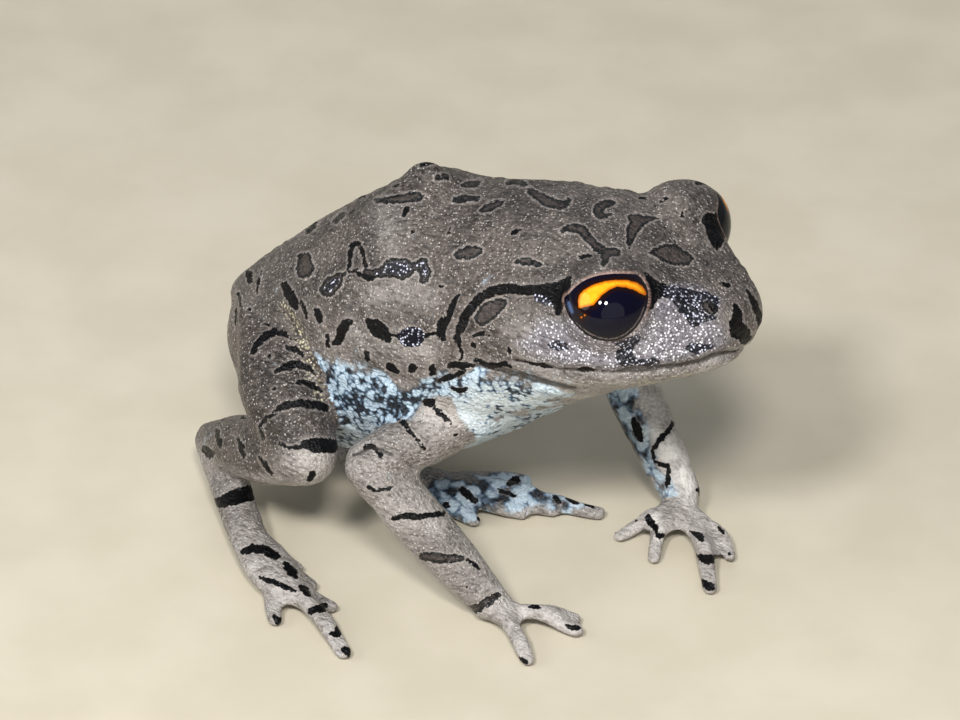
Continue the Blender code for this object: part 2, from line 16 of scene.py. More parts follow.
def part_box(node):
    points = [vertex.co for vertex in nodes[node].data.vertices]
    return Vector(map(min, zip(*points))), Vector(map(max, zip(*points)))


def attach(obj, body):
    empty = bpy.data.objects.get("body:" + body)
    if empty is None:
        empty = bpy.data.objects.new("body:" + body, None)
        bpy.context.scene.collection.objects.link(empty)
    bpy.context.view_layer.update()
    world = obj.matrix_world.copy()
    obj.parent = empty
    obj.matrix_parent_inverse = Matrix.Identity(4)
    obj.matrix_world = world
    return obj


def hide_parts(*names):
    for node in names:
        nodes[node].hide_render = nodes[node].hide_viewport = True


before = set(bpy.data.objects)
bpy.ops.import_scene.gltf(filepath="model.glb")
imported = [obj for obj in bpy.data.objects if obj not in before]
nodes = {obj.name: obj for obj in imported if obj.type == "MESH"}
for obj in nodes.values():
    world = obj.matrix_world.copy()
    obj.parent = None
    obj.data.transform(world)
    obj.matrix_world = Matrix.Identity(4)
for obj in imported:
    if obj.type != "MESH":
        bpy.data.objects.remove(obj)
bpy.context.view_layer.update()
MM = 0.001

# %% [markdown]
# Every place below is counted in millimetres from one point on the floor, midway between the frog's hands,
# on the plane that halves its body. The eyes are on either side of that plane, so their solids give it.

# %% Find the frog's own middle
EYE_AHEAD = 4.35
EYE_HEIGHT = 24.60
EYE_RADIUS = 2.90


def middle_of(node):
    low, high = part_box(node)
    return np.array((low + high) / 2) / MM


right_eye = middle_of("right_eye")
left_eye = middle_of("left_eye")
HANDS = (right_eye + left_eye) / 2 - np.array((EYE_AHEAD, 0.0, EYE_HEIGHT))
EYES = {"right": right_eye - HANDS, "left": left_eye - HANDS}
MIRROR = {"right": np.array((1.0, 1.0, 1.0)), "left": np.array((1.0, -1.0, 1.0))}
print("point between the hands, mm:", HANDS.round(2))

# %% [markdown]
# ## The camera
# The photo looks down on the frog's right side from a little ahead of it. A long lens keeps the depth flat,
# as a close-up lens does. The same numbers serve twice: they place the camera, and they later tell which
# point of the skin lies under a pixel of the photo, so that the marks can be drawn where they are seen.

# %% Set the camera
PHOTO_WIDE = 960
PHOTO_HIGH = 720
VIEW_TURN = math.radians(28.5)
VIEW_RAISE = math.radians(32.0)
VIEW_DISTANCE = 330.0
PIXELS_PER_MM = 14.5
HANDS_PIXEL = (585.0, 556.0)
SENSOR = 36.0

focal_pixels = PIXELS_PER_MM * VIEW_DISTANCE
to_right = np.array((math.cos(VIEW_TURN), math.sin(VIEW_TURN), 0.0))
to_camera = np.array((
    math.sin(VIEW_TURN) * math.cos(VIEW_RAISE),
    -math.cos(VIEW_TURN) * math.cos(VIEW_RAISE),
    math.sin(VIEW_RAISE),
))
to_top = np.cross(to_camera, to_right)
aside = (HANDS_PIXEL[0] - PHOTO_WIDE / 2) / focal_pixels
above = (PHOTO_HIGH / 2 - HANDS_PIXEL[1]) / focal_pixels
camera_place = VIEW_DISTANCE * (to_camera - aside * to_right - above * to_top)

camera_data = bpy.data.cameras.new("Photo view")
camera_data.sensor_width = SENSOR
camera_data.lens = focal_pixels / PHOTO_WIDE * SENSOR
camera_data.clip_start = 0.01
camera = bpy.data.objects.new("Photo view", camera_data)
bpy.context.scene.collection.objects.link(camera)
turn = Matrix((to_right, to_top, to_camera)).transposed()
camera.matrix_world = Matrix.Translation(Vector((camera_place + HANDS) * MM)) @ turn.to_4x4()
bpy.context.scene.camera = camera
print("camera at, mm:", camera_place.round(1), "lens:", round(camera_data.lens, 1))

# %% [markdown]
# A point of the frog, in millimetres, falls on one pixel. What lies further off looks smaller, so both ways
# are divided by the distance along the view.

# %% From a point of the frog to its pixel
def pixels_of(points):
    away = points - camera_place
    depth = -(away @ to_camera)
    across = PHOTO_WIDE / 2 + focal_pixels * (away @ to_right) / depth
    down = PHOTO_HIGH / 2 - focal_pixels * (away @ to_top) / depth
    return np.stack((across, down), 1)


print("hands' middle falls on pixel", pixels_of(np.zeros((1, 3)))[0].round(1))

# %% [markdown]
# ## Floor and light
# The floor is a plain pale sheet, far larger than the frog. Two soft boxes side by side near the camera
# give the wet skin its small bright points and the eye its pair of them, a wide one and a low one fill the
# shadows, and one from behind draws the edge of the back.

# %% Lay the floor
FLOOR_SIDE = 4.0
bpy.ops.object.select_all(action="DESELECT")
bpy.ops.mesh.primitive_plane_add(size=FLOOR_SIDE, location=(0, 0, 0))
floor = bpy.context.object
floor.name = "floor"
print("floor:", floor.dimensions[:2])

# %% Hang the lights
WARM = (1.0, 0.98, 0.95)
SKY_COLOUR = (0.80, 0.85, 0.92, 1.0)
SKY_STRENGTH = 0.22
AIM = (0.0, 0.0, 14.0)


def soft_box(name, place_mm, size_mm, power, colour):
    data = bpy.data.lights.new(name, "AREA")
    data.shape = "DISK"
    data.size = size_mm * MM
    data.energy = power
    data.color = colour
    lamp = bpy.data.objects.new(name, data)
    bpy.context.scene.collection.objects.link(lamp)
    place = Vector(place_mm) * MM
    aim = Vector(AIM) * MM
    facing_aim = (place - aim).to_track_quat("Z", "Y").to_matrix().to_4x4()
    lamp.matrix_world = Matrix.Translation(place) @ facing_aim


soft_box("key", (20, -235, 262), 55, 0.72, WARM)
soft_box("second key", (120, -200, 258), 55, 0.72, WARM)
soft_box("fill", (-240, -200, 150), 240, 0.42, (0.95, 0.97, 1.0))
soft_box("low front", (330, -300, 110), 560, 0.60, (1.0, 1.0, 1.0))
soft_box("edge", (-120, 260, 300), 200, 0.20, WARM)
sky = bpy.data.worlds.new("studio")
sky.use_nodes = True
background = sky.node_tree.nodes["Background"]
background.inputs["Color"].default_value = SKY_COLOUR
background.inputs["Strength"].default_value = SKY_STRENGTH
bpy.context.scene.world = sky
bpy.context.scene.view_settings.view_transform = "Standard"

# %% [markdown]
# ## One skin
# A frog has no seams, so the solids' skin is taken over by a single mesh. Copies of the solids are joined
# and swollen a little, until the thin cuts between them close. A voxel remesh then runs them together into
# one even net of small faces, and the same amount of swelling is taken off again.

# %% Join copies of the solids
SWELL = 0.22
VOXEL = 0.2365
flesh = sorted(name for name in nodes if not name.endswith("eye"))


def only(thing):
    bpy.ops.object.select_all(action="DESELECT")
    thing.select_set(True)
    bpy.context.view_layer.objects.active = thing


def with_modifier(thing, kind, **settings):
    only(thing)
    modifier = thing.modifiers.new(kind.lower(), kind)
    for name, value in settings.items():
        setattr(modifier, name, value)
    bpy.ops.object.modifier_apply(modifier=modifier.name)


def joined(things):
    only(things[0])
    for thing in things:
        thing.select_set(True)
    bpy.ops.object.join()
    return bpy.context.object


copies = []
for name in flesh:
    copy = bpy.data.objects.new(name + " copy", nodes[name].data.copy())
    bpy.context.scene.collection.objects.link(copy)
    copies.append(copy)
skin = joined(copies)
skin.name = "skin"
only(skin)
bpy.ops.object.mode_set(mode="EDIT")
bpy.ops.mesh.select_all(action="SELECT")
bpy.ops.mesh.remove_doubles(threshold=0.001 * MM)
bpy.ops.object.mode_set(mode="OBJECT")
print("joined solids:", len(skin.data.vertices), "points")

# %% [markdown]
# The remesh would blur the fine lids, so each socket is filled with a ball first and the net closes over
# it. The opening between the lids is pressed into that smooth cover later, where its outline can be as
# sharp as it is.

# %% Fill the sockets
SOCKET_FILL = 3.22


def ball_at(centre, radius, segments, rings, rotation=(0.0, 0.0, 0.0)):
    bpy.ops.object.select_all(action="DESELECT")
    bpy.ops.mesh.primitive_uv_sphere_add(
        segments=segments, ring_count=rings, radius=radius * MM,
        location=Vector((centre + HANDS) * MM), rotation=rotation,
    )
    bpy.ops.object.transform_apply(location=True, rotation=True, scale=True)
    return bpy.context.object


fills = [ball_at(centre, SOCKET_FILL, 48, 32) for centre in EYES.values()]
print("fills:", [len(fill.data.vertices) for fill in fills])

# %% Close the cuts and make one net
for thing in (skin, *fills):
    with_modifier(thing, "DISPLACE", strength=SWELL * MM, mid_level=0.0)
skin = joined([skin, *fills])
with_modifier(skin, "REMESH", mode="VOXEL", voxel_size=VOXEL * MM, adaptivity=0.0)
with_modifier(skin, "SMOOTH", factor=0.5, iterations=3)
with_modifier(skin, "DISPLACE", strength=-SWELL * MM, mid_level=0.0)
with_modifier(skin, "SMOOTH", factor=0.5, iterations=3)
print("skin:", len(skin.data.vertices), "points,", 2 * len(skin.data.polygons), "triangles at most")

# %% [markdown]
# The rest of the modelling moves the net's points in code, as a sculpting brush would, so the points and
# their outward directions are read into arrays, in millimetres from the point between the hands. Each point
# also learns which solid is nearest: that keeps a mark of the arm off the flank behind it.

# %% Read the net and name its regions
def read(thing, what):
    flat = np.zeros(len(thing.data.vertices) * 3, np.float32)
    thing.data.vertices.foreach_get(what, flat)
    return flat.reshape(-1, 3).astype(float)


def places_of(thing):
    return read(thing, "co") / MM - HANDS


def put_places(thing, places):
    flat = ((places + HANDS) * MM).astype(np.float32).ravel()
    thing.data.vertices.foreach_set("co", flat)
    thing.data.update()


def nearest_solids(places):
    corners = []
    faces = []
    owner = []
    for number, name in enumerate(flesh):
        start = len(corners)
        mesh = nodes[name].data
        corners += [v.co / MM - Vector(HANDS) for v in mesh.vertices]
        faces += [[start + v for v in p.vertices] for p in mesh.polygons]
        owner += [number] * len(mesh.polygons)
    solids = BVHTree.FromPolygons(corners, faces)
    return np.array([owner[solids.find_nearest(place)[2]] for place in places])


def spread(values, rounds):
    count = len(skin.data.vertices)
    ends = np.zeros(len(skin.data.edges) * 2, np.int32)
    skin.data.edges.foreach_get("vertices", ends)
    first, second = ends[0::2], ends[1::2]
    shares = np.bincount(first, minlength=count) + np.bincount(second, minlength=count) + 1.0
    for _ in range(rounds):
        from_ends = np.bincount(first, values[second], count)
        from_starts = np.bincount(second, values[first], count)
        values = (values + from_ends + from_starts) / shares
    return values


def parts(*names):
    return np.isin(region, names)


points = places_of(skin)
outward = read(skin, "normal")
region = np.array(flesh)[nearest_solids(points)]
TRUNK = parts("head", "torso")
print({name: int((region == name).sum()) for name in flesh})

# %% [markdown]
# ## Strokes and outlines
# Marks and folds are drawn in two ways. A stroke is a short chain of round dabs with a centre and a half
# width in pixels; between two dabs the width runs on evenly. An outline is a ring of corners. For every
# point of the skin the functions give how deep it lies inside, in millimetres: above zero inside, zero at
# the edge, below zero outside. One such number carries a crisp edge, a line of even width or a soft border.

# %% Measure how deep each point lies in a stroke or an outline
OUTSIDE = -3.0


def gaps_to(spots, first, second):
    run = second - first
    share = np.clip((spots - first) @ run / (run @ run + 1e-9), 0.0, 1.0)
    return share, np.linalg.norm(spots - first - np.outer(share, run), axis=1)


def in_outline(spots, corners):
    corners = np.array(corners, float)
    nearest = np.full(len(spots), 1e9)
    crossings = np.zeros(len(spots), int)
    for first, second in zip(corners, np.roll(corners, -1, axis=0)):
        nearest = np.minimum(nearest, gaps_to(spots, first, second)[1])
        spans = (first[1] > spots[:, 1]) != (second[1] > spots[:, 1])
        rise = second[1] - first[1] if second[1] != first[1] else 1e-9
        cut = first[0] + (spots[:, 1] - first[1]) / rise * (second[0] - first[0])
        crossings += spans & (spots[:, 0] < cut)
    return np.where(crossings % 2 == 1, nearest, -nearest)


def in_stroke(spots, dabs):
    dabs = np.array(dabs, float)
    if len(dabs) == 1:
        dabs = np.vstack((dabs, dabs + (0.01, 0, 0)))
    inside = np.full(len(spots), -1e9)
    for first, second in zip(dabs[:-1], dabs[1:]):
        share, gap = gaps_to(spots, first[:2], second[:2])
        inside = np.maximum(inside, first[2] + share * (second[2] - first[2]) - gap)
    return inside


def depth_in(marks, where, only_points=None):
    depth = np.full(len(where), OUTSIDE)
    chosen = np.flatnonzero(only_points) if only_points is not None else np.arange(len(where))
    spots = where[chosen]
    best = np.full(len(spots), OUTSIDE)
    for mark in marks.values():
        corners = np.array(mark, float)
        reach = abs(OUTSIDE) * PIXELS_PER_MM + (corners[:, 2].max() if corners.shape[1] == 3 else 0.0)
        low, high = corners[:, :2].min(0) - reach, corners[:, :2].max(0) + reach
        near = np.flatnonzero(((spots > low) & (spots < high)).all(1))
        measure = in_stroke if corners.shape[1] == 3 else in_outline
        best[near] = np.maximum(best[near], measure(spots[near], mark) / PIXELS_PER_MM)
    depth[chosen] = best
    return depth


print("test:", depth_in({"dab": [(10, 10, 5)]}, np.array(((10.0, 10.0), (40.0, 10.0)))).round(2))

# %% [markdown]
# ## Lids
# The lids are a thin fold of skin that lies close on the ball and ends in an almond outline. The net
# already covers the ball, so the lids are pressed into shape: inside the outline the skin drops below the
# ball's surface, at the outline it rises in a narrow step, and from there it runs out into the head. The
# outline is laid flat, as a map of the ball's front, so that both eyes can use the one that the photo
# shows. The frog holds its head a little tilted, so on the far eye the map is moved down by about a
# millimetre and a half.

# %% Map the ball's front
FACING = np.array((0.24, -0.92, 0.30)) / np.linalg.norm((0.24, -0.92, 0.30))
LENGTHWAYS = np.cross((0.0, 0.0, 1.0), FACING)
LENGTHWAYS = LENGTHWAYS / np.linalg.norm(LENGTHWAYS)
UPWAYS = np.cross(FACING, LENGTHWAYS)
OPENING = (
    (564.5, 298), (570, 294.5), (575, 289), (582, 283.5), (590, 279.5), (600, 276.5), (610, 275),
    (620, 274.5), (630, 274.5), (637, 275), (642, 279), (645.5, 285), (647.5, 292), (647.5, 301),
    (645.5, 309), (642, 317), (637, 325), (631, 331.5), (624, 336), (616, 338.5), (607, 339), (598, 337),
    (590, 333), (583, 328), (576, 321.5), (570, 315), (566, 307),
)


def on_ball(pixel, centre, radius):
    aim = (
        (pixel[0] - PHOTO_WIDE / 2) / focal_pixels * to_right
        + (PHOTO_HIGH / 2 - pixel[1]) / focal_pixels * to_top
        - to_camera
    )
    aim = aim / np.linalg.norm(aim)
    nearest = (centre - camera_place) @ aim
    foot = camera_place + nearest * aim - centre
    gap = np.linalg.norm(foot)
    if gap >= radius:
        return centre + foot / gap * radius
    return camera_place + (nearest - math.sqrt(radius * radius - gap * gap)) * aim


def on_front_map(places, centre):
    away = places - centre
    away = away / np.linalg.norm(away, axis=1)[:, None]
    off_axis = np.arccos(np.clip(away @ FACING, -1.0, 1.0))
    across, up = away @ LENGTHWAYS, away @ UPWAYS
    length = np.hypot(across, up) + 1e-9
    return np.stack((across, up), 1) * (EYE_RADIUS * off_axis / length)[:, None]


opening_map = on_front_map(
    np.array([on_ball(corner, EYES["right"], EYE_RADIUS) for corner in OPENING]), EYES["right"]
)
LOOK = {"right": np.array((0.0, 0.0)), "left": np.array((0.15, -1.4))}
print("opening, mm:", (opening_map.max(0) - opening_map.min(0)).round(2))

# %% Press the lids into shape
NEAR_EYE = 7.5
CLEAR = 0.01
LID_STEP = 0.15
STEP_WIDE = 0.22
LID_RISE = 0.06
RISE_FROM = 0.25
SUNK = 0.40
SINK_WIDE = 0.40
LIFTED_WITHIN = 0.8
LID_ENDS = 1.6
LID_FADES = 2.2
FREE_REACH = 3.60
FREE_FROM = 0.3
FREE_FADES = 0.8
RIM_AT = 0.09
RIM_WIDE = 0.085


def eased(share):
    share = np.clip(share, 0.0, 1.0)
    return share * share * (3 - 2 * share)


rim = np.zeros(len(points))
for side, centre in EYES.items():
    near = np.flatnonzero(np.linalg.norm(points - centre, axis=1) < NEAR_EYE)
    flat = on_front_map(points[near] * MIRROR[side], EYES["right"]) - LOOK[side]
    gap = -in_outline(flat, opening_map)
    reach = np.linalg.norm(points[near] - centre, axis=1)
    step = eased(gap / STEP_WIDE)
    inside = np.clip(-gap / SINK_WIDE, 0.0, 1.0)
    rise = LID_RISE * np.clip(gap - RISE_FROM, 0.0, 9.0)
    limit = EYE_RADIUS + CLEAR + LID_STEP * step + rise - SUNK * inside
    keep = eased((gap - LID_ENDS) / LID_FADES)
    keep = np.maximum(keep, eased(reach - FREE_REACH) * eased((gap - FREE_FROM) / FREE_FADES))
    pressed_reach = np.where(gap < LIFTED_WITHIN, limit, np.minimum(reach, limit))
    wanted = pressed_reach * (1 - keep) + reach * keep
    points[near] = centre + (points[near] - centre) * (wanted / reach)[:, None]
    upper_lid = 0.35 + 0.65 * eased((flat[:, 1] + 0.6) / 1.6)
    rim[near] = np.maximum(rim[near], upper_lid * np.exp(-np.square((gap - RIM_AT) / RIM_WIDE)))
put_places(skin, points)
outward = read(skin, "normal")
print("lids pressed, points on the rims:", int((rim > 0.5).sum()))

# %% [markdown]
# Which points does the photo show? A ray from each point towards the camera answers it. The photo shows the
# right side only, so the rest of the trunk and head is drawn as its mirror image, as on a real frog, whose
# two sides are alike but never quite the same. The hidden left leg and upper arm borrow from the right
# ones, bone by bone.

# %% Find what the photo shows
CLEAR_OF_SKIN = 0.12
RAY = 60.0


def seen_points(thing, places, directions):
    mesh = thing.data
    net = BVHTree.FromPolygons(
        [v.co / MM - Vector(HANDS) for v in mesh.vertices],
        [list(p.vertices) for p in mesh.polygons],
    )
    lifted = places + CLEAR_OF_SKIN * directions
    towards = camera_place - places
    reach = np.linalg.norm(towards, axis=1)
    towards = towards / reach[:, None]
    facing = (directions * towards).sum(1)
    seen = np.zeros(len(places), bool)
    for number in np.flatnonzero(facing > 0.0):
        hit = net.ray_cast(Vector(lifted[number]), Vector(towards[number]), RAY)
        seen[number] = hit[0] is None
    return seen, facing


seen, facing = seen_points(skin, points, outward)
print("points the photo shows:", int(seen.sum()))

# %% Borrow the right leg's places for the left leg
RIGHT_LEG = ((-23.3, -3.3, 13.4), (-16.0, -10.4, 9.4), (-27.6, -3.7, 3.1), (-20.2, -11.2, 1.5))
LEFT_LEG = ((-23.3, 3.3, 13.4), (-14.9, 11.3, 9.8), (-26.2, 4.7, 3.0), (-16.6, 0.2, 1.5))
RIGHT_ARM = ((-5.2, -4.8, 13.8), (-11.1, -10.3, 10.0))
LEFT_ARM = ((-4.6, 4.8, 13.8), (-3.4, 10.6, 10.1))
BORROWED = {"left_upper_arm": (LEFT_ARM, RIGHT_ARM)}
for joint, bone in enumerate(("left_thigh", "left_shank", "left_tarsus")):
    BORROWED[bone] = (LEFT_LEG[joint:joint + 2], RIGHT_LEG[joint:joint + 2])


def bone_axes(start, end):
    along = (end - start) / np.linalg.norm(end - start)
    side = np.cross(along, (0.0, 0.0, 1.0))
    side = side / np.linalg.norm(side)
    return along, side, np.cross(side, along)


def borrowed(places, left_bone, right_bone):
    left_start, left_end = np.array(left_bone)
    right_start, right_end = np.array(right_bone)
    along, side, up = bone_axes(left_start, left_end)
    stretch = np.linalg.norm(right_end - right_start) / np.linalg.norm(left_end - left_start)
    apart = places - left_start
    right_along, right_side, right_up = bone_axes(right_start, right_end)
    return (
        right_start
        + np.outer(apart @ along * stretch, right_along)
        - np.outer(apart @ side, right_side)
        + np.outer(apart @ up, right_up)
    )


MIRROR_SHIFT = 7.0
mirrored = TRUNK & ~seen & (points[:, 1] > 0)
pixels = pixels_of(points)
flipped_pixels = pixels_of(points * MIRROR["left"])
sway = np.stack((np.sin(points[:, 0] * 0.55 + 1.0), np.cos(points[:, 2] * 0.6)), 1)
torso_only = parts("torso")[:, None]
pixels[mirrored] = (flipped_pixels + MIRROR_SHIFT * sway * torso_only)[mirrored]
for name, bones in BORROWED.items():
    part = parts(name)
    pixels[part] = pixels_of(borrowed(points[part], *bones))
print("mirrored points:", int(mirrored.sum()))

# %% [markdown]
# ## The black marks
# Each mark is read off the photo and given as a few dabs or as an outline. They are grouped by where
# they lie, so that a group only touches its own solids. Some marks are black all over, some are a dark grey
# patch in a black line, and some are black under a frost of white points. First the back, from the hips to
# the eyes.

# %% Marks on the back with a dark filling
BACK_RINGED = {
    "hip oval": [(437, 179, 3), (446, 178, 3)],
    "spine oval": [(464, 185, 3), (472, 184, 4), (480, 181, 2)],
    "nape strip": [(508, 183, 2.5), (518, 182, 3), (526, 184, 1.5)],
    "boomerang": [
        (530, 190, 3), (537, 196, 5), (548, 202, 5.5), (560, 206, 4.5), (568, 202, 2.5), (571, 198, 1),
    ],
    "comma": [
        (613, 203, 2.5), (605, 204, 4.5), (598, 209, 4.5), (598, 213, 4.5), (604, 217, 3), (611, 216, 1.5),
    ],
    "small oval": [(455, 201, 2.5), (466, 199, 3.5), (478, 199, 2)],
    "long drop": [(481, 211, 2), (489, 208, 5), (498, 204, 4), (504, 201, 1.5)],
    "long blotch": [(376, 201, 2), (390, 200, 3.5), (405, 198, 5), (418, 197, 4.5), (423, 196, 2)],
    "side oval": [(459, 255, 5), (468, 253, 6.5), (477, 250, 5), (481, 249, 2)],
    "low wedge": [(516, 262, 2), (526, 261, 4.5), (536, 263, 3), (542, 265, 1)],
    "hip ring": [(305, 260, 7.5), (305, 269, 9.5)],
    "shoulder snake": [
        (561, 231, 1.5), (571, 228, 4), (581, 229, 5), (588, 238, 4.5), (597, 247, 4.5), (607, 252, 4),
        (616, 252, 4.5), (620, 255, 1),
    ],
    "snake lobe": [(606, 256, 5), (603, 266, 2)],
    "brow triangle": [
        (627, 216), (632, 213), (641, 213.5), (650, 216), (661, 218.5), (651, 221.5), (643, 226),
        (637, 234), (633, 243), (629, 249), (626, 241), (626.5, 230), (629, 223),
    ],
    "brow patch": [
        (649, 252), (653, 249), (658, 247), (661, 244), (666, 245), (673, 244), (674.5, 239), (676, 239.5),
        (676, 244), (680, 248), (687, 252), (691, 255), (693.5, 258.5), (690, 264), (688, 266), (680, 265),
        (673, 264), (665, 262), (658, 259), (653, 256), (649.5, 256),
    ],
    "flank start": [(328, 289, 8), (334, 283, 8), (340, 277, 4), (346, 273, 1.5)],
    "flank chain": [
        (366, 272, 4), (374, 274, 4), (384, 271, 6), (393, 268, 10), (402, 269, 11), (410, 269, 6),
    ],
    "flank chain end": [(412, 268, 4), (422, 264, 6), (426, 272, 6), (424, 280, 4.5)],
    "far rim spot": [(335, 221, 3), (341, 216, 3.5), (345, 213, 1.5)],
    "far rim dash": [(307, 232, 2), (312, 227, 3), (317, 221, 1.5)],
}

# %% Marks on the back that are black all over
BACK_BLACK = {
    "hump tip": [(421, 167, 1.6), (427, 165, 2.2), (433, 166, 1.6)],
    "blotch drop": [(407, 209, 2.8), (404, 216, 2.2)],
    "blotch head": [(357, 198, 1.5), (366, 197, 1.2)],
    "rim spot": [(394, 187, 2), (398, 186, 1.5)],
    "small ring": [(512, 233, 1.6), (517, 231, 2.4), (521, 229, 1.2)],
    "slash": [(414, 230, 1.3), (410, 236, 1.5)],
    "second slash": [(451, 227, 1.3), (448, 234, 1.6)],
    "dot": [(442, 286, 2)],
    "nape dot": [(432, 214, 2)],
    "brow dot": [(682, 212, 1.6), (682, 217, 1.8)],
    "crown dash": [(608, 189, 1.5), (620, 189.5, 1)],
    "crown dot": [(640, 198, 1.6), (646, 198, 1.4)],
    "crown hook": [(659, 203, 0.8), (663, 200, 1.8), (668, 197, 1)],
    "eyelid mark": [(697, 183, 2), (707, 183, 1.6)],
    "snake dash": [(580, 257, 2), (587, 255, 2), (591, 256, 0.8)],
    "arch": [
        (349, 268, 1.6), (350, 256, 2), (352, 246, 2.2), (356, 243, 2), (360, 245, 2), (363, 255, 2),
        (365, 266, 2),
    ],
    "arch foot": [(349, 272, 1.5), (355, 270, 2), (361, 275, 2.4), (370, 279, 2.4), (374, 277, 1.2)],
    "left rump bar": [(285, 285, 3.5), (289, 293, 5), (294, 303, 5), (297, 308, 2)],
    "thin rump bar": [(302, 301, 1.5), (305, 310, 2), (307, 318, 1.5)],
    "rump spot": [(317, 311, 3.5), (319, 320, 3.5)],
    "rump sliver": [(326, 336, 1.8), (328, 346, 2.6)],
    "low rump oval": [(347, 323, 4.5), (341, 332, 6.5), (337, 342, 4)],
    "tail oval": [(249, 273, 3), (250, 280, 3.8)],
    "tail line": [(262, 271, 1.2), (259, 283, 1), (257, 294, 0.8)],
    "tail bar": [(237, 294, 2.5), (239, 305, 2.8)],
    "tail rim bar": [(229, 310, 2), (230, 322, 3.5), (231, 332, 2)],
    "tail hook": [(250, 311, 3), (245, 317, 3.5), (243, 328, 1.6), (243, 334, 1)],
}
print("marks on the back:", len(BACK_RINGED) + len(BACK_BLACK))

# %% [markdown]
# The flank carries a lower row of marks. The head has a black bar behind the eye that bends round the
# eardrum, a dark patch from eye to nostril, and spots along the lip.

# %% Marks on the flank and head
FLANK_BLACK = {
    "diamond": [(368, 321, 3), (374, 326, 7), (382, 333, 7.5), (387, 339, 4.5)],
    "diamond link": [(388, 335, 2), (400, 336, 1.5)],
    "speckled round": [(408, 337, 10), (415, 337, 10)],
    "round link": [(424, 336, 2.5), (434, 334, 2)],
    "shoulder blob": [(441, 322, 5), (440, 331, 6.5), (444, 338, 3)],
    "shoulder arm": [(446, 326, 2.5), (450, 312, 4), (455, 301, 3.5), (460, 294, 1)],
    "small one": [(366, 352, 2), (368, 359, 3)],
    "small two": [(390, 366, 4), (396, 372, 3)],
    "small three": [(413, 368, 4.5)],
    "small four": [(432, 367, 2.5), (432, 373, 3)],
    "armpit dark": [(437, 384, 2.2), (446, 379, 3.4), (455, 376, 2.2), (464, 371, 2.4)],
    "armpit dark low": [(452, 388, 1.6), (460, 392, 2.6), (467, 388, 1.6)],
    "chin chain": [(448, 367, 2.5), (458, 364, 3.5), (470, 367, 2.5)],
    "arm spot": [(425, 404, 3.5), (431, 404, 4)],
    "arm dashes": [(437, 409, 1.4), (445, 416, 1.2), (452, 425, 1.2)],
}
HEAD_BLACK = {
    "eye wedge": [
        (538, 286), (546, 286.5), (560, 282), (572, 275), (571.5, 284), (567, 295), (566, 303),
        (563.5, 308), (561.5, 313), (559.5, 317), (556.5, 314), (553, 305), (546, 299), (538, 295),
    ],
    "eye stripe": [(556, 291, 7), (545, 291, 6.5), (532, 290, 5), (518, 291, 4.5)],
    "fold arc": [
        (518, 290, 4.5), (505, 289, 5), (493, 291, 4.5), (483, 297, 4), (474, 305, 3.5), (465, 318, 4),
    ],
    "fold foot": [(465, 318, 4), (460, 328, 4), (456, 337, 2.8), (459, 347, 1.8), (462, 357, 1.8)],
    "eardrum rim": [(474, 336, 1.8), (482, 333, 2.5), (489, 336, 1.2)],
    "eardrum low": [(474, 345, 3)],
    "cheek dot": [(509, 350, 3)],
    "lip black": [(476, 361, 3), (484, 366, 3.5), (495, 367, 3.5), (505, 364, 3), (510, 367, 1.8)],
    "lip line": [(515, 361, 1), (525, 362, 1.5), (535, 364, 3.2), (543, 367, 2.8), (550, 370, 1)],
    "lip spot": [(571, 372), (576, 370), (582, 368), (590, 367), (594.5, 371), (593, 374), (580, 374)],
    "eye corner": [
        (645, 272), (650, 275), (658, 282), (667, 283.5), (669, 298), (660, 297), (657, 300), (653, 308),
        (648.5, 312), (646, 309), (647, 295), (646, 284),
    ],
    "snout blotch": [
        (733.3, 303.3), (737.5, 304), (741, 308), (742.5, 315), (743.3, 322.5), (748.3, 326.7),
        (751.7, 331.7), (752.5, 338.3), (750.4, 346.7), (745.8, 347), (740.8, 343.3), (737.5, 340),
        (732.5, 338.3), (730, 331.7), (728.3, 323.3), (730.8, 318.3), (732.5, 311.7),
    ],
    "snout far blotch": [(748, 291, 2), (752, 300, 2.4), (757, 311, 2.6), (760, 323, 3), (761, 333, 2)],
    "nostril hole": [(710.5, 306, 2.4), (713.5, 309, 2.6)],
    "snout dash": [
        (718.3, 280.8), (723.3, 281.3), (729.2, 284.2), (732, 287.5), (725.8, 286.3), (720, 284),
    ],
    "far eye patch": [
        (703, 215), (708, 213), (714, 213.5), (722, 212), (726, 215), (727, 225), (726, 235), (722, 245),
        (717, 252), (713, 246), (709, 239), (705.5, 230), (703, 223), (702, 219),
    ],
}
HEAD_FROSTED = {
    "eye stripe frost": [
        (534, 294), (546, 296), (553, 303), (556, 311), (549, 306), (540, 303), (533, 299),
    ],
    "loreal patch": [
        (664, 285), (672.5, 285), (681, 287.5), (687.5, 289), (695, 291), (703, 291), (710, 293),
        (717, 296), (720, 299), (719.5, 313), (717.5, 317.5), (710, 321.5), (702, 324), (693, 327.5),
        (687.5, 321.5), (681, 314), (677.5, 311), (679, 308), (675, 303), (668, 298), (664, 297),
    ],
    "under eye": [
        (608, 340), (620, 337), (632, 337), (641, 336), (636, 345), (630, 351), (636, 360), (646, 361),
        (656, 360), (661, 364), (658, 369), (646, 370), (630, 369), (622, 367), (616, 360), (615, 353),
        (620, 348), (614, 344),
    ],
    "upper lip": [
        (684, 348), (692, 343), (700, 344), (710, 345), (715, 347), (713, 350), (705, 353), (696, 357),
    ],
    "cheek": [
        (545, 346), (552, 342), (558, 340.5), (569, 343), (572, 347), (569, 349), (559, 351.5),
        (552, 349.5),
    ],
}
HEAD_RINGED = {
    "nostril": [(708, 306, 6.5), (712, 309, 6.5)],
    "eardrum": [(482, 318, 8), (489, 311, 9.5), (498, 305, 7), (502, 304, 5)],
}
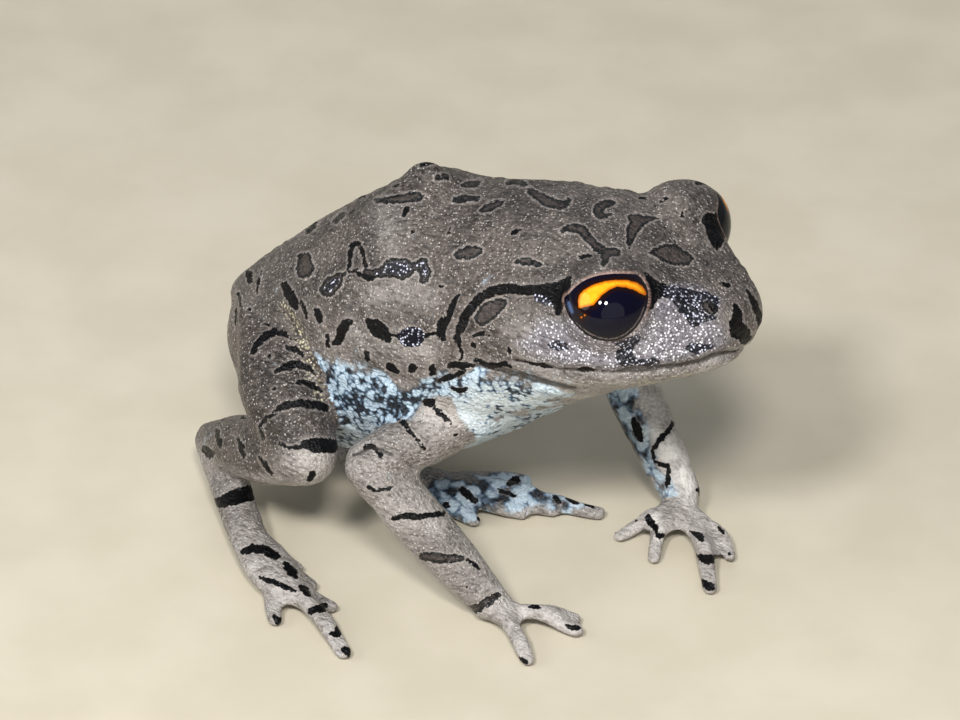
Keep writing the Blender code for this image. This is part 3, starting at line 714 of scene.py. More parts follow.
print("marks on flank and head:", len(FLANK_BLACK) + len(HEAD_BLACK) + len(HEAD_FROSTED) + len(HEAD_RINGED))

# %% [markdown]
# Bars cross the legs and arms. On the thigh they start in the groin, on the shank and foot they are wider
# apart, and on the arms they are mostly thin broken lines.

# %% Marks on the right leg
RIGHT_THIGH = {
    "root wedge": [(260, 304, 2.5), (266, 309, 3), (274, 317, 2.5)],
    "second wedge": [(269, 305, 2), (278, 309, 4), (286, 313, 3)],
    "root mass": [(264, 324, 1.5), (275, 325, 3.5), (285, 324, 4), (292, 330, 3)],
    "first bar": [(253, 354, 2), (257, 345, 3), (266, 336, 4), (277, 332, 4), (288, 334, 4), (296, 340, 2)],
    "second bar": [(286, 348, 1.5), (294, 349, 3.5), (304, 355, 2)],
    "third bar": [(276, 371, 2), (287, 366, 4), (298, 364, 4), (308, 368, 3), (317, 375, 1.5)],
    "fourth bar": [(298, 383, 1.5), (306, 382, 3), (314, 386, 3), (323, 393, 1.5)],
    "wide band": [(275, 411, 2), (284, 406, 4), (298, 403, 4.5), (312, 404, 4.5), (326, 408, 3.5)],
    "band tail": [(275, 414, 1.8), (265, 418, 2), (259, 427, 1.6), (263, 440, 1.4)],
    "spot": [(270, 357, 2.4)],
    "second spot": [(274, 389, 2)],
    "knee line": [(279, 443, 1.5), (289, 448, 2), (300, 447, 2), (308, 445, 3)],
    "knee band": [(306, 444, 5), (318, 445, 8), (332, 446, 7)],
    "knee dot": [(312, 474, 3.6), (309, 479, 2.6)],
}
RIGHT_SHANK = {
    "bar one": [(217, 431, 2.2), (219, 440, 3.2), (220, 447, 1.9)],
    "bar two": [(238, 439, 1.9), (241, 448, 3.2), (244, 457, 1.9)],
    "bar three": [(260, 457, 1.5), (266, 466, 2.8), (272, 474, 1.2)],
    "dot": [(243, 417, 2.2)],
    "heel mark": [(205, 449, 3.8), (209, 455, 4.2)],
}
RIGHT_FOOT = {
    "first band": [(214, 503, 4.1), (224, 501, 6.8), (236, 497, 8.1), (251, 493, 7.4)],
    "second band": [(243, 552, 3.4), (252, 548, 4.7), (263, 549, 4.7), (276, 556, 4.1)],
    "fork line": [(260, 577, 1.6), (270, 581, 2.4), (283, 586, 2.7), (295, 591, 2)],
    "inner toe one": [(286, 565, 3.4), (292, 572, 4.7), (296, 577, 2)],
    "inner toe two": [(302, 587, 3.2), (308, 592, 4.1)],
    "inner toe three": [(318, 605, 2.7), (325, 607, 2.2)],
    "toe band": [(311, 611, 3.5), (319, 606, 4.6), (327, 603, 3.5)],
    "second toe band": [(330, 632, 2.7), (340, 629, 5.4), (347, 624, 3.5)],
    "toe tip": [(344, 648, 4.1), (350, 653, 4.1)],
    "outer toe tip": [(275, 616, 4.1), (279, 621, 4.1)],
}
print("marks on the right leg:", len(RIGHT_THIGH) + len(RIGHT_SHANK) + len(RIGHT_FOOT))

# %% Marks on the arms and the left foot
RIGHT_ARM_BLACK = {
    "armpit end": [(402, 420, 3.0), (410, 431, 2.0), (418, 441, 1.9), (425, 449, 1.5)],
    "second line": [(427, 402, 2.6), (436, 411, 1.8), (447, 421, 1.6)],
    "upper dot": [(455, 434, 2)],
    "elbow corner": [(364, 447, 1.8), (372, 445, 2.6), (377, 451, 2), (384, 459, 1)],
    "elbow arc": [(368, 486, 1.6), (375, 490, 2), (385, 490, 2), (393, 487, 1.4)],
    "first bar": [(392, 519, 2), (405, 516, 3.2), (418, 517, 3.4), (431, 515, 3.2), (443, 513, 2.4)],
    "bar dots": [(467, 560, 1.4), (474, 565, 1.8), (480, 569, 1.2)],
    "low spot": [(466, 587, 1.8)],
    "finger mark": [(531, 604, 2.6), (540, 605, 2.4)],
    "finger tip": [(569, 626, 4), (577, 628, 3.5)],
    "thumb tip": [(520, 659, 2.4), (526, 662, 2.6)],
}
RIGHT_ARM_RINGED = {
    "second bar": [(424, 556, 4.4), (438, 558, 4.8), (452, 559, 4.6), (462, 558, 3)],
    "wrist band": [(466, 612, 3), (476, 609, 4.4), (488, 602, 4.4), (498, 595, 3)],
}
LEFT_ARM_BLACK = {
    "upper bar": [(633, 420, 2.6), (637, 430, 4.6), (641, 440, 3)],
    "long band": [(673, 423, 2.2), (667, 432, 2.8), (659, 441, 2.2), (652, 450, 1.8)],
    "third": [(652, 452, 1.5), (655, 460, 1.8), (661, 465, 2.4), (668, 466, 2.2)],
    "thin": [(669, 470, 2.0), (668, 478, 2.6), (667, 485, 2.8)],
    "outer dark": [(699, 490, 3), (703, 497, 2.4)],
    "thumb": [(647, 515, 2.4), (651, 522, 4), (656, 529, 2.4)],
    "hand dot": [(635, 517, 1.8)],
    "second finger": [(658, 533, 3), (664, 535, 3)],
    "third finger": [(689, 531, 3.4), (696, 531, 4.4), (703, 536, 3.4)],
    "third finger band": [(698, 556, 4.2), (707, 557, 4.8), (716, 559, 4.2)],
    "third finger tip": [(704, 583, 5.2), (711, 586, 5.2)],
    "fourth finger": [(719, 525, 2.6), (724, 529, 2.6)],
    "fourth tip": [(730, 553, 2.6)],
}
LEFT_FOOT_BLACK = {
    "spot": [(446, 505, 3.4)],
    "slanting bar": [(461, 489, 3), (468, 495, 4), (475, 501, 3)],
    "first toe tip": [(480, 519, 3)],
    "upper toe": [(509, 484, 3), (516, 480, 4)],
    "web line": [(497, 490, 1.4), (507, 493, 1.8), (516, 496, 1.2)],
    "main band": [(555, 493, 3), (558, 501, 3.4)],
    "main band two": [(569, 495, 3), (575, 499, 3.6)],
    "main band three": [(587, 501, 2.4), (593, 503, 2.4)],
}
print("marks on arms and left foot:", len(RIGHT_ARM_BLACK) + len(LEFT_ARM_BLACK) + len(LEFT_FOOT_BLACK))

# %% [markdown]
# ## Colour regions
# The lower flank is blotted with blue, the chest bluish white, and the same blots run over the left forearm
# and foot. Lips, hands, toes and knees are pale, and a few flecks in the groin are yellowish. A band along
# the left forearm is painted nearly white: partly its pale skin, partly painted light where the head shades
# it. Snout and cheek get painted glints, white points where light catches their wet grains. These parts
# have soft borders, so the same depths are turned into a slow fade.

# %% Soft regions of the trunk
BLUE_TRUNK = {
    "flank": [
        (316, 352), (328, 361), (345, 367), (366, 371), (384, 378), (402, 382), (431, 376), (453, 372),
        (475, 369), (507, 375), (540, 382), (578, 392), (560, 403), (525, 414), (489, 432), (453, 452),
        (420, 466), (380, 470), (345, 452), (330, 425), (320, 390),
    ],
}
WHITE_CHEST = {
    "chest": [
        (475, 384), (507, 382), (540, 388), (575, 393), (540, 407), (500, 427), (460, 447), (440, 428),
        (452, 402),
    ],
}
SHOULDER_SKIN = {
    "top of the arm": [
        (380, 440), (392, 429), (404, 418), (416, 408), (428, 400), (440, 395), (452, 397), (460, 408),
        (466, 424), (466, 440), (430, 440),
    ],
}
PALE_TRUNK = {
    "jaw": [(480, 372, 4), (540, 376, 6), (600, 381, 7), (660, 378, 7), (720, 362, 6), (748, 352, 5)],
    # The saddle stroke is a painted highlight: a pale patch where light catches the top of the back.
    "saddle": [(384, 212, 9), (388, 228, 11), (386, 244, 8)],
    "below the chain": [(366, 294, 10), (382, 296, 13), (402, 294, 15), (424, 294, 11)],
    "low flank": [(352, 334, 8), (376, 342, 12), (404, 348, 14), (430, 354, 9)],
    "cheek": [
        (520, 330, 14), (550, 340, 18), (600, 356, 12), (650, 345, 22), (690, 335, 24), (718, 330, 14),
    ],
}
PALE_LIPS = {
    "lips": [(525, 362, 2), (600, 375, 4), (660, 373, 4), (720, 359, 4), (748, 348, 3)],
    "jaw edge": [(560, 380, 3), (610, 386, 4), (660, 382, 4), (710, 371, 4), (742, 360, 3)],
}
# The sparkled region gets painted glints: white points where light catches the wet grains of snout and
# cheek.
SPARKLED = {
    "cheek and snout": [
        (575, 316), (560, 322), (541, 320), (530, 332), (518, 346), (538, 359), (580, 366), (620, 371),
        (660, 367), (700, 357), (724, 349), (727, 338), (722, 326), (716, 321), (719, 300), (700, 288),
        (680, 285), (664, 290), (657, 303), (648, 318), (634, 336), (612, 343), (590, 338),
    ],
}
MARBLED_LIMBS = {
    "left foot": [(436, 500, 22), (480, 495, 20), (520, 488, 16), (570, 498, 13)],
    "left forearm": [(622, 402, 15), (638, 434, 15), (650, 462, 7), (664, 492, 5)],
}
# Painted light: this band lifts the left forearm and hand near white, partly pale skin, partly light where
# the head shades it.
LIT_PALE_LIMBS = {
    "left forearm": [
        (652, 432, 6), (664, 444, 9), (676, 458, 10), (684, 472, 9), (688, 488, 7), (690, 500, 5),
    ],
    "left hand": [(662, 538, 5), (655, 520, 4)],
}
YELLOW_FLECKS = {
    "groin line": [(284, 306, 3), (296, 328, 4), (306, 352, 4.5), (314, 378, 4), (322, 402, 3)],
    "throat": [(640, 385, 3), (670, 382, 3), (690, 376, 2)],
}

# %% Soft regions of the limbs
LIGHTER_LIMBS = {
    "top of the arm": [(440, 420, 10), (466, 414, 8)],
    "knee": [(292, 462, 14), (318, 464, 20)],
    "toes": [(255, 575, 8), (290, 592, 14), (325, 615, 16), (348, 645, 10)],
    "sole edge": [(240, 540, 5), (262, 560, 8)],
    "elbow": [(362, 470, 8), (380, 470, 10)],
    "hand": [(490, 606, 12), (525, 618, 18), (565, 628, 14), (522, 655, 12)],
    "left hand": [(672, 480, 22), (690, 520, 30), (712, 570, 22), (640, 525, 20)],
}
DARKER_LIMBS = {
    "forearm": [(418, 534, 8), (434, 556, 12), (452, 576, 12), (470, 592, 7)],
    "tarsus": [(213, 476, 8), (222, 520, 9)],
}
BASE_TONE = {
    "head": 0.08, "torso": 0.04, "thigh": 0.0, "shank": 0.03, "tarsus": 0.66, "foot": 0.72,
    "upper_arm": 0.56, "forearm": 0.60, "hand": 0.82,
}
print("soft regions ready")

# %% [markdown]
# The strokes now meet the skin. A mark may show only where its own part of the body is, and it fades where
# the skin turns away from the photo, so that it ends on the far side as a real bar does and isn't drawn
# straight through the frog.

# %% Ink the skin
LIMBS = ~TRUNK
LEG_TOPS = parts("right_thigh", "right_shank", "left_thigh", "left_shank")
LEG_ENDS = parts("right_tarsus", "right_foot", "left_tarsus")
ARMS = parts("right_upper_arm", "right_forearm", "right_hand", "left_upper_arm")
LEFT_ARM_LOW = parts("left_forearm", "left_hand")
LEFT_FOOT = parts("left_foot")
TURN_AWAY = 1.6
TRUNK_TURN = 0.05
LIMB_TURN = 0.35
SHOULDER_HEIGHT = 17
FROST_INSET = 0.26

turned_away = np.clip(-np.where(TRUNK, TRUNK_TURN, LIMB_TURN) - facing, 0.0, 1.0)
turned_away[mirrored | parts(*BORROWED)] = 0.0


def inked(*groups):
    depth = np.full(len(points), OUTSIDE)
    for strokes, where in groups:
        depth = np.maximum(depth, depth_in(strokes, pixels, where))
    return depth - TURN_AWAY * turned_away


black = inked(
    (BACK_BLACK, TRUNK), (FLANK_BLACK, TRUNK), (HEAD_BLACK, TRUNK),
    (RIGHT_THIGH, LEG_TOPS), (RIGHT_SHANK, LEG_TOPS | parts("right_tarsus", "left_tarsus")),
    (RIGHT_FOOT, LEG_ENDS), (RIGHT_ARM_BLACK, ARMS | TRUNK & (points[:, 2] < SHOULDER_HEIGHT)),
    (LEFT_ARM_BLACK, LEFT_ARM_LOW), (LEFT_FOOT_BLACK, LEFT_FOOT),
)
ringed = inked((BACK_RINGED, TRUNK), (HEAD_RINGED, TRUNK), (RIGHT_ARM_RINGED, ARMS))
frosted = inked((HEAD_FROSTED, TRUNK), ({"round": FLANK_BLACK["speckled round"]}, TRUNK))
chain = {name: BACK_RINGED[name] for name in ("flank start", "flank chain", "flank chain end")}
frosted = np.maximum(frosted, inked((chain, TRUNK)) - FROST_INSET)
frosted = np.minimum(frosted, -inked(({"nostril": HEAD_RINGED["nostril"]}, TRUNK)))
print("inked points:", int((black > 0).sum()), int((ringed > 0).sum()), int((frosted > 0).sum()))

# %% [markdown]
# The skin's lightness changes from part to part: dark on the back and thighs, light on the arms, hands and
# feet. Each part starts with one value, and the values are then spread along the net's edges until no step
# is left between them. The soft regions then make it lighter or darker in places.

# %% Lay the soft colours
def faded(depth, soft):
    return eased(depth / soft + 0.5)


SOFT = 2.4
BELLY_HEIGHT = 13.5
FLANK_HEIGHT = 20.0
BLUE_FROM = -22.0
TONE_ROUNDS = 60
underside = faded(-outward[:, 2] - 0.35, 0.5)
low_trunk = faded(BELLY_HEIGHT - points[:, 2], 6.0) * TRUNK
flank_depth = inked((BLUE_TRUNK, TRUNK))
blue = faded(flank_depth - 0.2, SOFT)
blue = np.maximum(blue, 1.6 * underside * low_trunk)
blue = blue * eased((points[:, 0] - BLUE_FROM) / 2.5)
shoulder = faded(inked((SHOULDER_SKIN, TRUNK)), 1.3)
blue = blue * (1.0 - shoulder)
marbled = faded(inked((MARBLED_LIMBS, parts("left_foot", "left_forearm"))), SOFT)
blue = np.maximum(blue, marbled)
lit_pale_band = faded(inked((LIT_PALE_LIMBS, LEFT_ARM_LOW)), 1.4)
chest = np.maximum(faded(inked((WHITE_CHEST, TRUNK)), SOFT), 0.6 * underside * low_trunk)
chest = np.maximum(chest, 0.20 * marbled)
tone = np.array([BASE_TONE[name.removeprefix("right_").removeprefix("left_")] for name in region])
# The left forearm and hand start at the lightest tone, partly pale skin and partly painted light where the
# head shades them.
tone[LEFT_ARM_LOW] = 1.0
tone = spread(tone, TONE_ROUNDS)
flank_side = TRUNK * faded(FLANK_HEIGHT - points[:, 2], 9.0) * 0.10
tone = tone + flank_side
pale = np.maximum(0.14 * faded(flank_depth + 1.1, SOFT), 0.74 * shoulder)
for strength, strokes, where, soft in (
    (0.45, PALE_TRUNK, TRUNK, 2.6), (0.82, PALE_LIPS, TRUNK, 0.7), (0.85, LIGHTER_LIMBS, LIMBS, 2.2),
):
    pale = np.maximum(pale, strength * faded(inked((strokes, where)), soft))
tone = np.clip(tone + (1.0 - tone) * pale, 0.0, 1.0)
darker = faded(inked((DARKER_LIMBS, parts("right_forearm", "right_tarsus"))), 1.8)
tone = tone * (1.0 - 0.42 * darker)
tone = np.maximum(tone, 0.75 * underside)
sparkled = faded(inked((SPARKLED, TRUNK)), 1.2)
yellow = faded(inked((YELLOW_FLECKS, TRUNK | LEG_TOPS)), 0.6)
print("blue:", round(float(blue.mean()), 3), "tone:", round(float(tone.mean()), 3))

# %% [markdown]
# ## Folds and grain of the skin
# Strokes of the same kind also raise and press the skin. The lips, the crease of the mouth, the fold that
# runs from the eye over the eardrum and the creases of elbow, groin and armpit are all long strokes with a
# height.

# %% Folds read from the photo
MOUTH_CREASE = {
    "mouth": [
        (513, 361, 1.6), (540, 366, 1.8), (560, 370.5, 1.8), (580, 373, 1.8), (610, 374.8, 1.8),
        (640, 373.5, 1.8), (665, 370, 1.8), (685, 367, 1.8), (701, 363, 1.8), (720, 357.5, 1.8),
        (741, 353, 1.8), (756, 344, 1.4),
    ],
}
SNOUT_TIP = {
    "under the nose": [(668, 357, 5), (700, 356, 5), (730, 351, 5), (752, 342, 4)],
}
UPPER_LIP = {
    "lip": [(525, 357, 4), (560, 364, 4), (610, 368, 4), (660, 364, 4), (700, 356, 4), (741, 346, 4)],
}
LOWER_LIP = {
    "lip": [(530, 371, 3), (570, 380, 4), (610, 381.5, 4), (660, 377, 4), (700, 370, 4), (743, 359, 3)],
}
CHIN_CREASE = {
    "chin": [(472, 366, 2), (500, 371, 2.5), (520, 377, 2.5), (548, 385, 2.2), (575, 391, 1.6)],
}
EAR_FOLD = {
    "over the eardrum": [
        (566, 280, 5), (545, 283, 6), (520, 283, 6), (500, 284, 6), (482, 291, 5.5), (468, 303, 5),
        (459, 318, 5), (454, 334, 4), (453, 350, 3),
    ],
}
EAR_GROOVE = {
    "under the fold": [
        (556, 293, 4), (520, 293, 4), (500, 294, 4), (485, 302, 4), (474, 314, 4), (466, 330, 3),
        (461, 350, 2),
    ],
}
FLANK_CREASES = {
    "shoulder": [(463, 322, 2), (455, 345, 2.5), (446, 372, 2.5), (432, 396, 2.5)],
    "armpit": [(434, 352, 1.6), (436, 380, 2.4), (424, 402, 2.6), (404, 420, 2.6), (372, 444, 2)],
    "flank one": [(352, 300, 1.5), (358, 330, 2.2), (372, 350, 1.5)],
    "flank two": [(334, 330, 1.5), (352, 360, 2.2), (380, 378, 2.2), (410, 384, 1.5)],
    "groin": [(288, 318, 2.4), (300, 345, 2.6), (312, 380, 2.8), (330, 430, 2.8)],
    "saddle": [(440, 300, 1.5), (436, 320, 2), (430, 345, 1.6)],
}
LIMB_CREASES = {
    "elbow": [(352, 455, 1.8), (372, 446, 2.6), (392, 455, 2.4)],
    "elbow front": [(404, 462, 1.6), (412, 468, 2)],
    "wrist": [(462, 612, 2), (480, 606, 2.6), (498, 594, 2)],
    "knee pit": [(258, 415, 1.8), (268, 426, 2.4), (276, 440, 1.8)],
    "ankle": [(206, 456, 2), (216, 450, 2.4)],
}
FINGER_WAISTS = {
    "right third finger": [(522, 609, 6), (545, 616, 6), (566, 622, 4)],
    "right thumb": [(510, 630, 5), (519, 645, 5), (526, 655, 3)],
    "left first finger": [(636, 521, 5), (624, 532, 4)],
    "left second finger": [(657, 530, 5), (654, 548, 5), (652, 556, 3)],
    "left third finger": [(690, 524, 6), (700, 546, 5), (706, 566, 4), (708, 580, 3)],
    "left fourth finger": [(716, 520, 5), (724, 536, 4), (727, 548, 3)],
    "right outer toe": [(268, 600, 4), (273, 614, 4)],
    "right long toe": [(320, 596, 4), (330, 614, 5), (338, 634, 5), (342, 646, 3)],
    "left long toe": [(545, 494, 5), (570, 499, 5), (592, 508, 4)],
}
HUMP_TIP = np.array((-11.4, 0.0, 27.9))
HUMP_RISE = 0.36
HUMP_WIDE = 1.2
RUMP_TUCK = 0.60
WAVES = 14
CALM_ROUNDS = 50
print("folds ready")

# %% [markdown]
# A brush stroke's profile is a smooth bell across its width. The bells are added up and the points move
# along their own outward direction. Low warts and a fine unevenness come from waves of several lengths,
# each with the number that starts its random draws: without them the net would look poured.

# %% Shape the folds
def bell(depth, width):
    return np.exp(-np.square(np.minimum(depth, 0.0) / width))


creased = ARMS | LEG_TOPS | LEG_ENDS
calm = np.stack([spread(points[:, axis], CALM_ROUNDS) for axis in range(3)], 1)
calmed = bell(inked((MOUTH_CREASE, TRUNK), (SNOUT_TIP, TRUNK)), 0.8)
points = points + (calm - points) * calmed[:, None]
rump = eased((242 - pixels[:, 0]) / 16) * eased((pixels[:, 1] - 280) / 30) * eased((410 - pixels[:, 1]) / 30)
points = points + RUMP_TUCK * np.outer(rump * parts("torso", "right_thigh"), to_right)
fingers = parts("right_hand", "left_hand", "right_foot", "left_foot")
lift = np.zeros(len(points))
for strokes, where, height, width in (
    (MOUTH_CREASE, TRUNK, -0.26, 0.12), (UPPER_LIP, TRUNK, 0.10, 0.16), (LOWER_LIP, TRUNK, 0.10, 0.14),
    (CHIN_CREASE, TRUNK, -0.24, 0.18), (EAR_FOLD, TRUNK, 0.22, 0.30), (EAR_GROOVE, TRUNK, -0.14, 0.22),
    (FLANK_CREASES, TRUNK, -0.22, 0.25), (LIMB_CREASES, creased, -0.14, 0.18),
    (FINGER_WAISTS, fingers, -0.30, 0.55),
):
    lift += height * bell(inked((strokes, where)), width)


def waves(places, length, seed):
    rng = np.random.default_rng(seed)
    total = np.zeros(len(places))
    for _ in range(WAVES):
        way = rng.normal(size=3)
        way = way / np.linalg.norm(way)
        pace = rng.uniform(0.8, 1.25)
        total += np.sin(places @ way * (2 * math.pi / length) * pace + rng.uniform(0, 6.28))
    return total / math.sqrt(WAVES / 2)


uneven = 0.035 * waves(points, 3.2, 1) + 0.022 * waves(points, 1.3, 2)
grain = np.clip(waves(points, 0.9, 3) - 0.7, 0.0, 1.3) * 0.045
# Painted shade in the creases: a dark line along the mouth, chin, limb and flank creases.
crease_shade = inked((MOUTH_CREASE, TRUNK), (CHIN_CREASE, TRUNK))
crease_shade = np.maximum(crease_shade, inked((LIMB_CREASES, creased)) - 0.04)
crease_shade = np.maximum(crease_shade, inked((FLANK_CREASES, TRUNK)) - 0.10)
tip = np.linalg.norm(points - HUMP_TIP, axis=1)
lift += HUMP_RISE * np.exp(-np.square(tip / HUMP_WIDE))
floor_near = np.clip((points[:, 2] - 0.35) / 0.8, 0.0, 1.0)
lift = (lift + (uneven + grain) * np.where(TRUNK, 1.0, 0.55)) * floor_near
to_eyes = [np.linalg.norm(points - centre, axis=1) for centre in EYES.values()]
eye_gap = np.minimum(*to_eyes) - EYE_RADIUS
lift = lift * np.clip((eye_gap - 0.15) / 0.5, 0.0, 1.0)
points = points + lift[:, None] * outward
points[:, 2] = np.maximum(points[:, 2], -HANDS[2])
put_places(skin, points)
print("highest fold:", round(float(lift.max()), 3), "deepest:", round(float(lift.min()), 3))

# %% [markdown]
# The numbers found above are stored on the skin as attributes. The material reads them by name.

# %% Store what the material needs
def store(thing, name, values):
    attribute = thing.data.attributes.new(name, "FLOAT", "POINT")
    attribute.data.foreach_set("value", values.astype(np.float32))


SKIN_VALUES = {
    "black": black, "ringed": ringed, "frosted": frosted, "lit_pale_band": lit_pale_band, "blue": blue,
    "chest": chest, "tone": tone, "sparkled": sparkled, "yellow": yellow, "rim": rim,
    "crease_shade": crease_shade, "marbled": marbled,
}
for name, values in SKIN_VALUES.items():
    store(skin, name, values)
only(skin)
bpy.ops.object.shade_smooth()
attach(skin, "root")
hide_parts(*flesh)
print("attributes:", [a.name for a in skin.data.attributes if not a.name.startswith(".")])

# %% [markdown]
# ## Materials
# Colours are written as the hex values a colour picker gives, and one function turns them into the linear
# values that Blender computes with. Another adds a node with its settings and links to the material in
# hand, the one made last; a hex value given for a socket goes through the first. Sockets are given by name,
# or as a list in the node's own order: a range takes a value, the ends of its run and the ends of what
# comes out, and a sum takes its terms. In a mix of colours 0 is the share, 6 and 7 are the two colours, and
# 2 is the result.

# %% Helpers for materials
def colour(hex_value):
    channels = [int(hex_value[i:i + 2], 16) / 255 for i in (0, 2, 4)]
    linear = [c / 12.92 if c <= 0.04045 else ((c + 0.055) / 1.055) ** 2.4 for c in channels]
    return (*linear, 1.0)


def plug(node, sockets):
    for name, value in sockets.items() if isinstance(sockets, dict) else enumerate(sockets):
        if isinstance(value, bpy.types.NodeSocket):
            tree.links.new(value, node.inputs[name])
        else:
            node.inputs[name].default_value = colour(value) if isinstance(value, str) else value


def add(kind, sockets=None, out=0, **settings):
    node = tree.nodes.new("ShaderNode" + kind)
    for name, value in settings.items():
        setattr(node, name, value)
    plug(node, sockets or {})
    return node.outputs[out]


def new_material(name):
    material = bpy.data.materials.new(name)
    material.use_nodes = True
    return material, material.node_tree, material.node_tree.nodes["Principled BSDF"]


def per_mm(millimetres):
    return 1.0 / (millimetres * MM)


RGBA = {"data_type": "RGBA"}
EASED = {"interpolation_type": "SMOOTHSTEP"}
TIMES = {"operation": "MULTIPLY"}
PLUS = {"operation": "ADD"}
TIMES_PLUS = {"operation": "MULTIPLY_ADD"}
print("one grain each 0.3 mm is a scale of", round(per_mm(0.3)))

# %% [markdown]
# ### Wet frog skin
# The skin is fine wet leather, set all over with grains a quarter of a millimetre across that catch the
# light, and drawn into fine lengthways wrinkles. Its patterns come first, each at its real size: grains,
# wrinkles, the finer glitter of the cheek, and slow changes over several millimetres.

# %% Patterns of the skin
GRAIN = 0.26
WRINKLE = 0.17
GLITTER = 0.18
PATCH = 4.5
MOTTLE = 0.8
WANDER = 0.6
skin_material, tree, surface = new_material("wet granular frog skin")
place = add("TexCoord", out="Object")
lengthways = add("Mapping", {"Vector": place, "Scale": (0.30, 1.0, 0.85)})
grains = add("TexVoronoi", {"Vector": place, "Scale": per_mm(GRAIN)}, "Distance")
lots = add("SeparateColor", {"Color": grains.node.outputs["Color"]}, "Red")
wrinkles = add(
    "TexNoise", {"Vector": lengthways, "Scale": per_mm(WRINKLE), "Detail": 3.0, "Roughness": 0.6}, "Fac"
)
patches = add("TexNoise", {"Vector": place, "Scale": per_mm(PATCH), "Detail": 4.0}, "Fac")
mottle = add("TexNoise", {"Vector": place, "Scale": per_mm(MOTTLE), "Detail": 3.0}, "Fac")
wander = add(
    "TexNoise", {"Vector": place, "Scale": per_mm(WANDER), "Detail": 5.0, "Roughness": 0.65}, "Fac"
)
glitter = add("TexVoronoi", {"Vector": place, "Scale": per_mm(GLITTER)}, "Distance")
glitter_lots = add("SeparateColor", {"Color": glitter.node.outputs["Color"]}, "Green")
stored = {name: add("Attribute", out="Fac", attribute_name=name) for name in SKIN_VALUES}
print("patterns:", len(tree.nodes), "nodes")

# %% [markdown]
# The base colour is laid twice, once dark for the back and once light for arms and hands, and the stored
# tone mixes the two. In each, the furrows of the wrinkles and the dips between grains get painted shade and
# the wrinkle ridges a painted highlight, and some grains, picked by lot, stand out as pale points: partly
# pale grains, partly painted glints of light on the wet skin.

# %% Base colour of the skin
wrinkle_light_share = add("MapRange", [wrinkles, 0.36, 0.62], **EASED)
furrow_shade = add("MapRange", [wrinkles, 0.50, 0.34, 0.0, 0.60], **EASED)
cloudy = add("Math", [mottle, 0.5, patches], **TIMES_PLUS)
patch_share = add("MapRange", [cloudy, 0.62, 0.88], **EASED)
# Pale points on picked grains: partly pale grains of the skin, partly painted glints of light on the wet
# skin.
grain_tops = add("MapRange", [grains, 0.32, 0.06], **EASED)
picked = add("MapRange", [lots, 0.34, 0.90], **EASED)
speck_and_glint_share = add("Math", [grain_tops, picked], **TIMES)
smoother = add("MapRange", [stored["tone"], 0.78, 1.0, 1.0, 0.35])
speck_and_glint_share = add("Math", [speck_and_glint_share, smoother], **TIMES)
dip_shade = add("MapRange", [grains, 0.42, 0.66], **EASED)
furrow_shade_share = add("Math", [furrow_shade, smoother], **TIMES)
grounds = []
for deep, low, high, speck_and_glint, strength, sink in (
    ("0b0908", "28221f", "5a514c", "dcd7d3", 0.95, 0.40),
    ("5a534f", "837d79", "bab5b1", "ffffff", 0.95, 0.16),
):
    base = add("Mix", {0: patch_share, 6: low, 7: high}, 2, **RGBA)
    # lit is a painted highlight on the wrinkle ridges; the furrows and grain dips below get painted shade.
    lit = add("Mix", {0: 0.55, 6: base, 7: high}, 2, **RGBA)
    base = add("Mix", {0: wrinkle_light_share, 6: base, 7: lit}, 2, **RGBA)
    base = add("Mix", {0: furrow_shade_share, 6: base, 7: deep}, 2, **RGBA)
    sunken_shade = add("Math", [dip_shade, sink], **TIMES)
    base = add("Mix", {0: sunken_shade, 6: base, 7: deep}, 2, **RGBA)
    weak = add("Math", [speck_and_glint_share, strength], **TIMES)
    grounds.append(add("Mix", {0: weak, 6: base, 7: speck_and_glint}, 2, **RGBA))
coat = add("Mix", {0: stored["tone"], 6: grounds[0], 7: grounds[1]}, 2, **RGBA)
# Finer pale points from the glitter pattern are painted glints of light on the wet skin.
fine_tops = add("MapRange", [glitter, 0.42, 0.14], **EASED)
fine_lots = add("MapRange", [glitter_lots, 0.52, 1.0, 0.0, 0.85], **EASED)
fine_glints = add("Math", [fine_tops, fine_lots], **TIMES)
fine_glints = add("Math", [fine_glints, smoother], **TIMES)
coat = add("Mix", {0: fine_glints, 6: coat, 7: "cfc9c5"}, 2, **RGBA)
print("base colour:", len(tree.nodes), "nodes")

# %% [markdown]
# Low on the flank the base colour turns to a dark blue with blots of bluish white, which close up over the
# chest. The left forearm and foot have broader blots, and the forearm a band painted nearly white, partly
# pale skin and partly painted light where the head shades it. Snout and cheek are covered with painted
# glints, points of white where light catches the wet grains, dense enough to run together.

# %% Blue flank, white chest and painted light on the left forearm
BLOT = 0.40
BROAD_BLOT = 1.0
MARBLE = 1.5
SHAKE = 0.4
SHAKE_BY = 0.30
marble = add("TexNoise", {"Vector": place, "Scale": per_mm(MARBLE), "Detail": 4.0}, "Fac")
shaking = add("TexNoise", {"Vector": place, "Scale": per_mm(SHAKE), "Detail": 2.0}, "Color")
shake = add("VectorMath", {0: shaking, "Scale": SHAKE_BY * MM}, operation="SCALE")
shaken = add("VectorMath", [place, shake], **PLUS)
blots = add("TexVoronoi", {"Vector": shaken, "Scale": per_mm(BLOT)}, "Distance")
broad = add("TexVoronoi", {"Vector": shaken, "Scale": per_mm(BROAD_BLOT)}, "Distance")
blots = add("Mix", {0: stored["marbled"], 2: blots, 3: broad}, data_type="FLOAT")
fullness = add("MapRange", [marble, 0.3, 0.7, -0.42, 0.42])
fullness = add("Math", [stored["chest"], 0.34, fullness], **TIMES_PLUS)
blotted = add("Math", [fullness, blots], operation="SUBTRACT")
blue_share = add("MapRange", [blotted, -0.68, -0.44], **EASED)
white_share = add("MapRange", [blotted, -0.54, -0.26], **EASED)
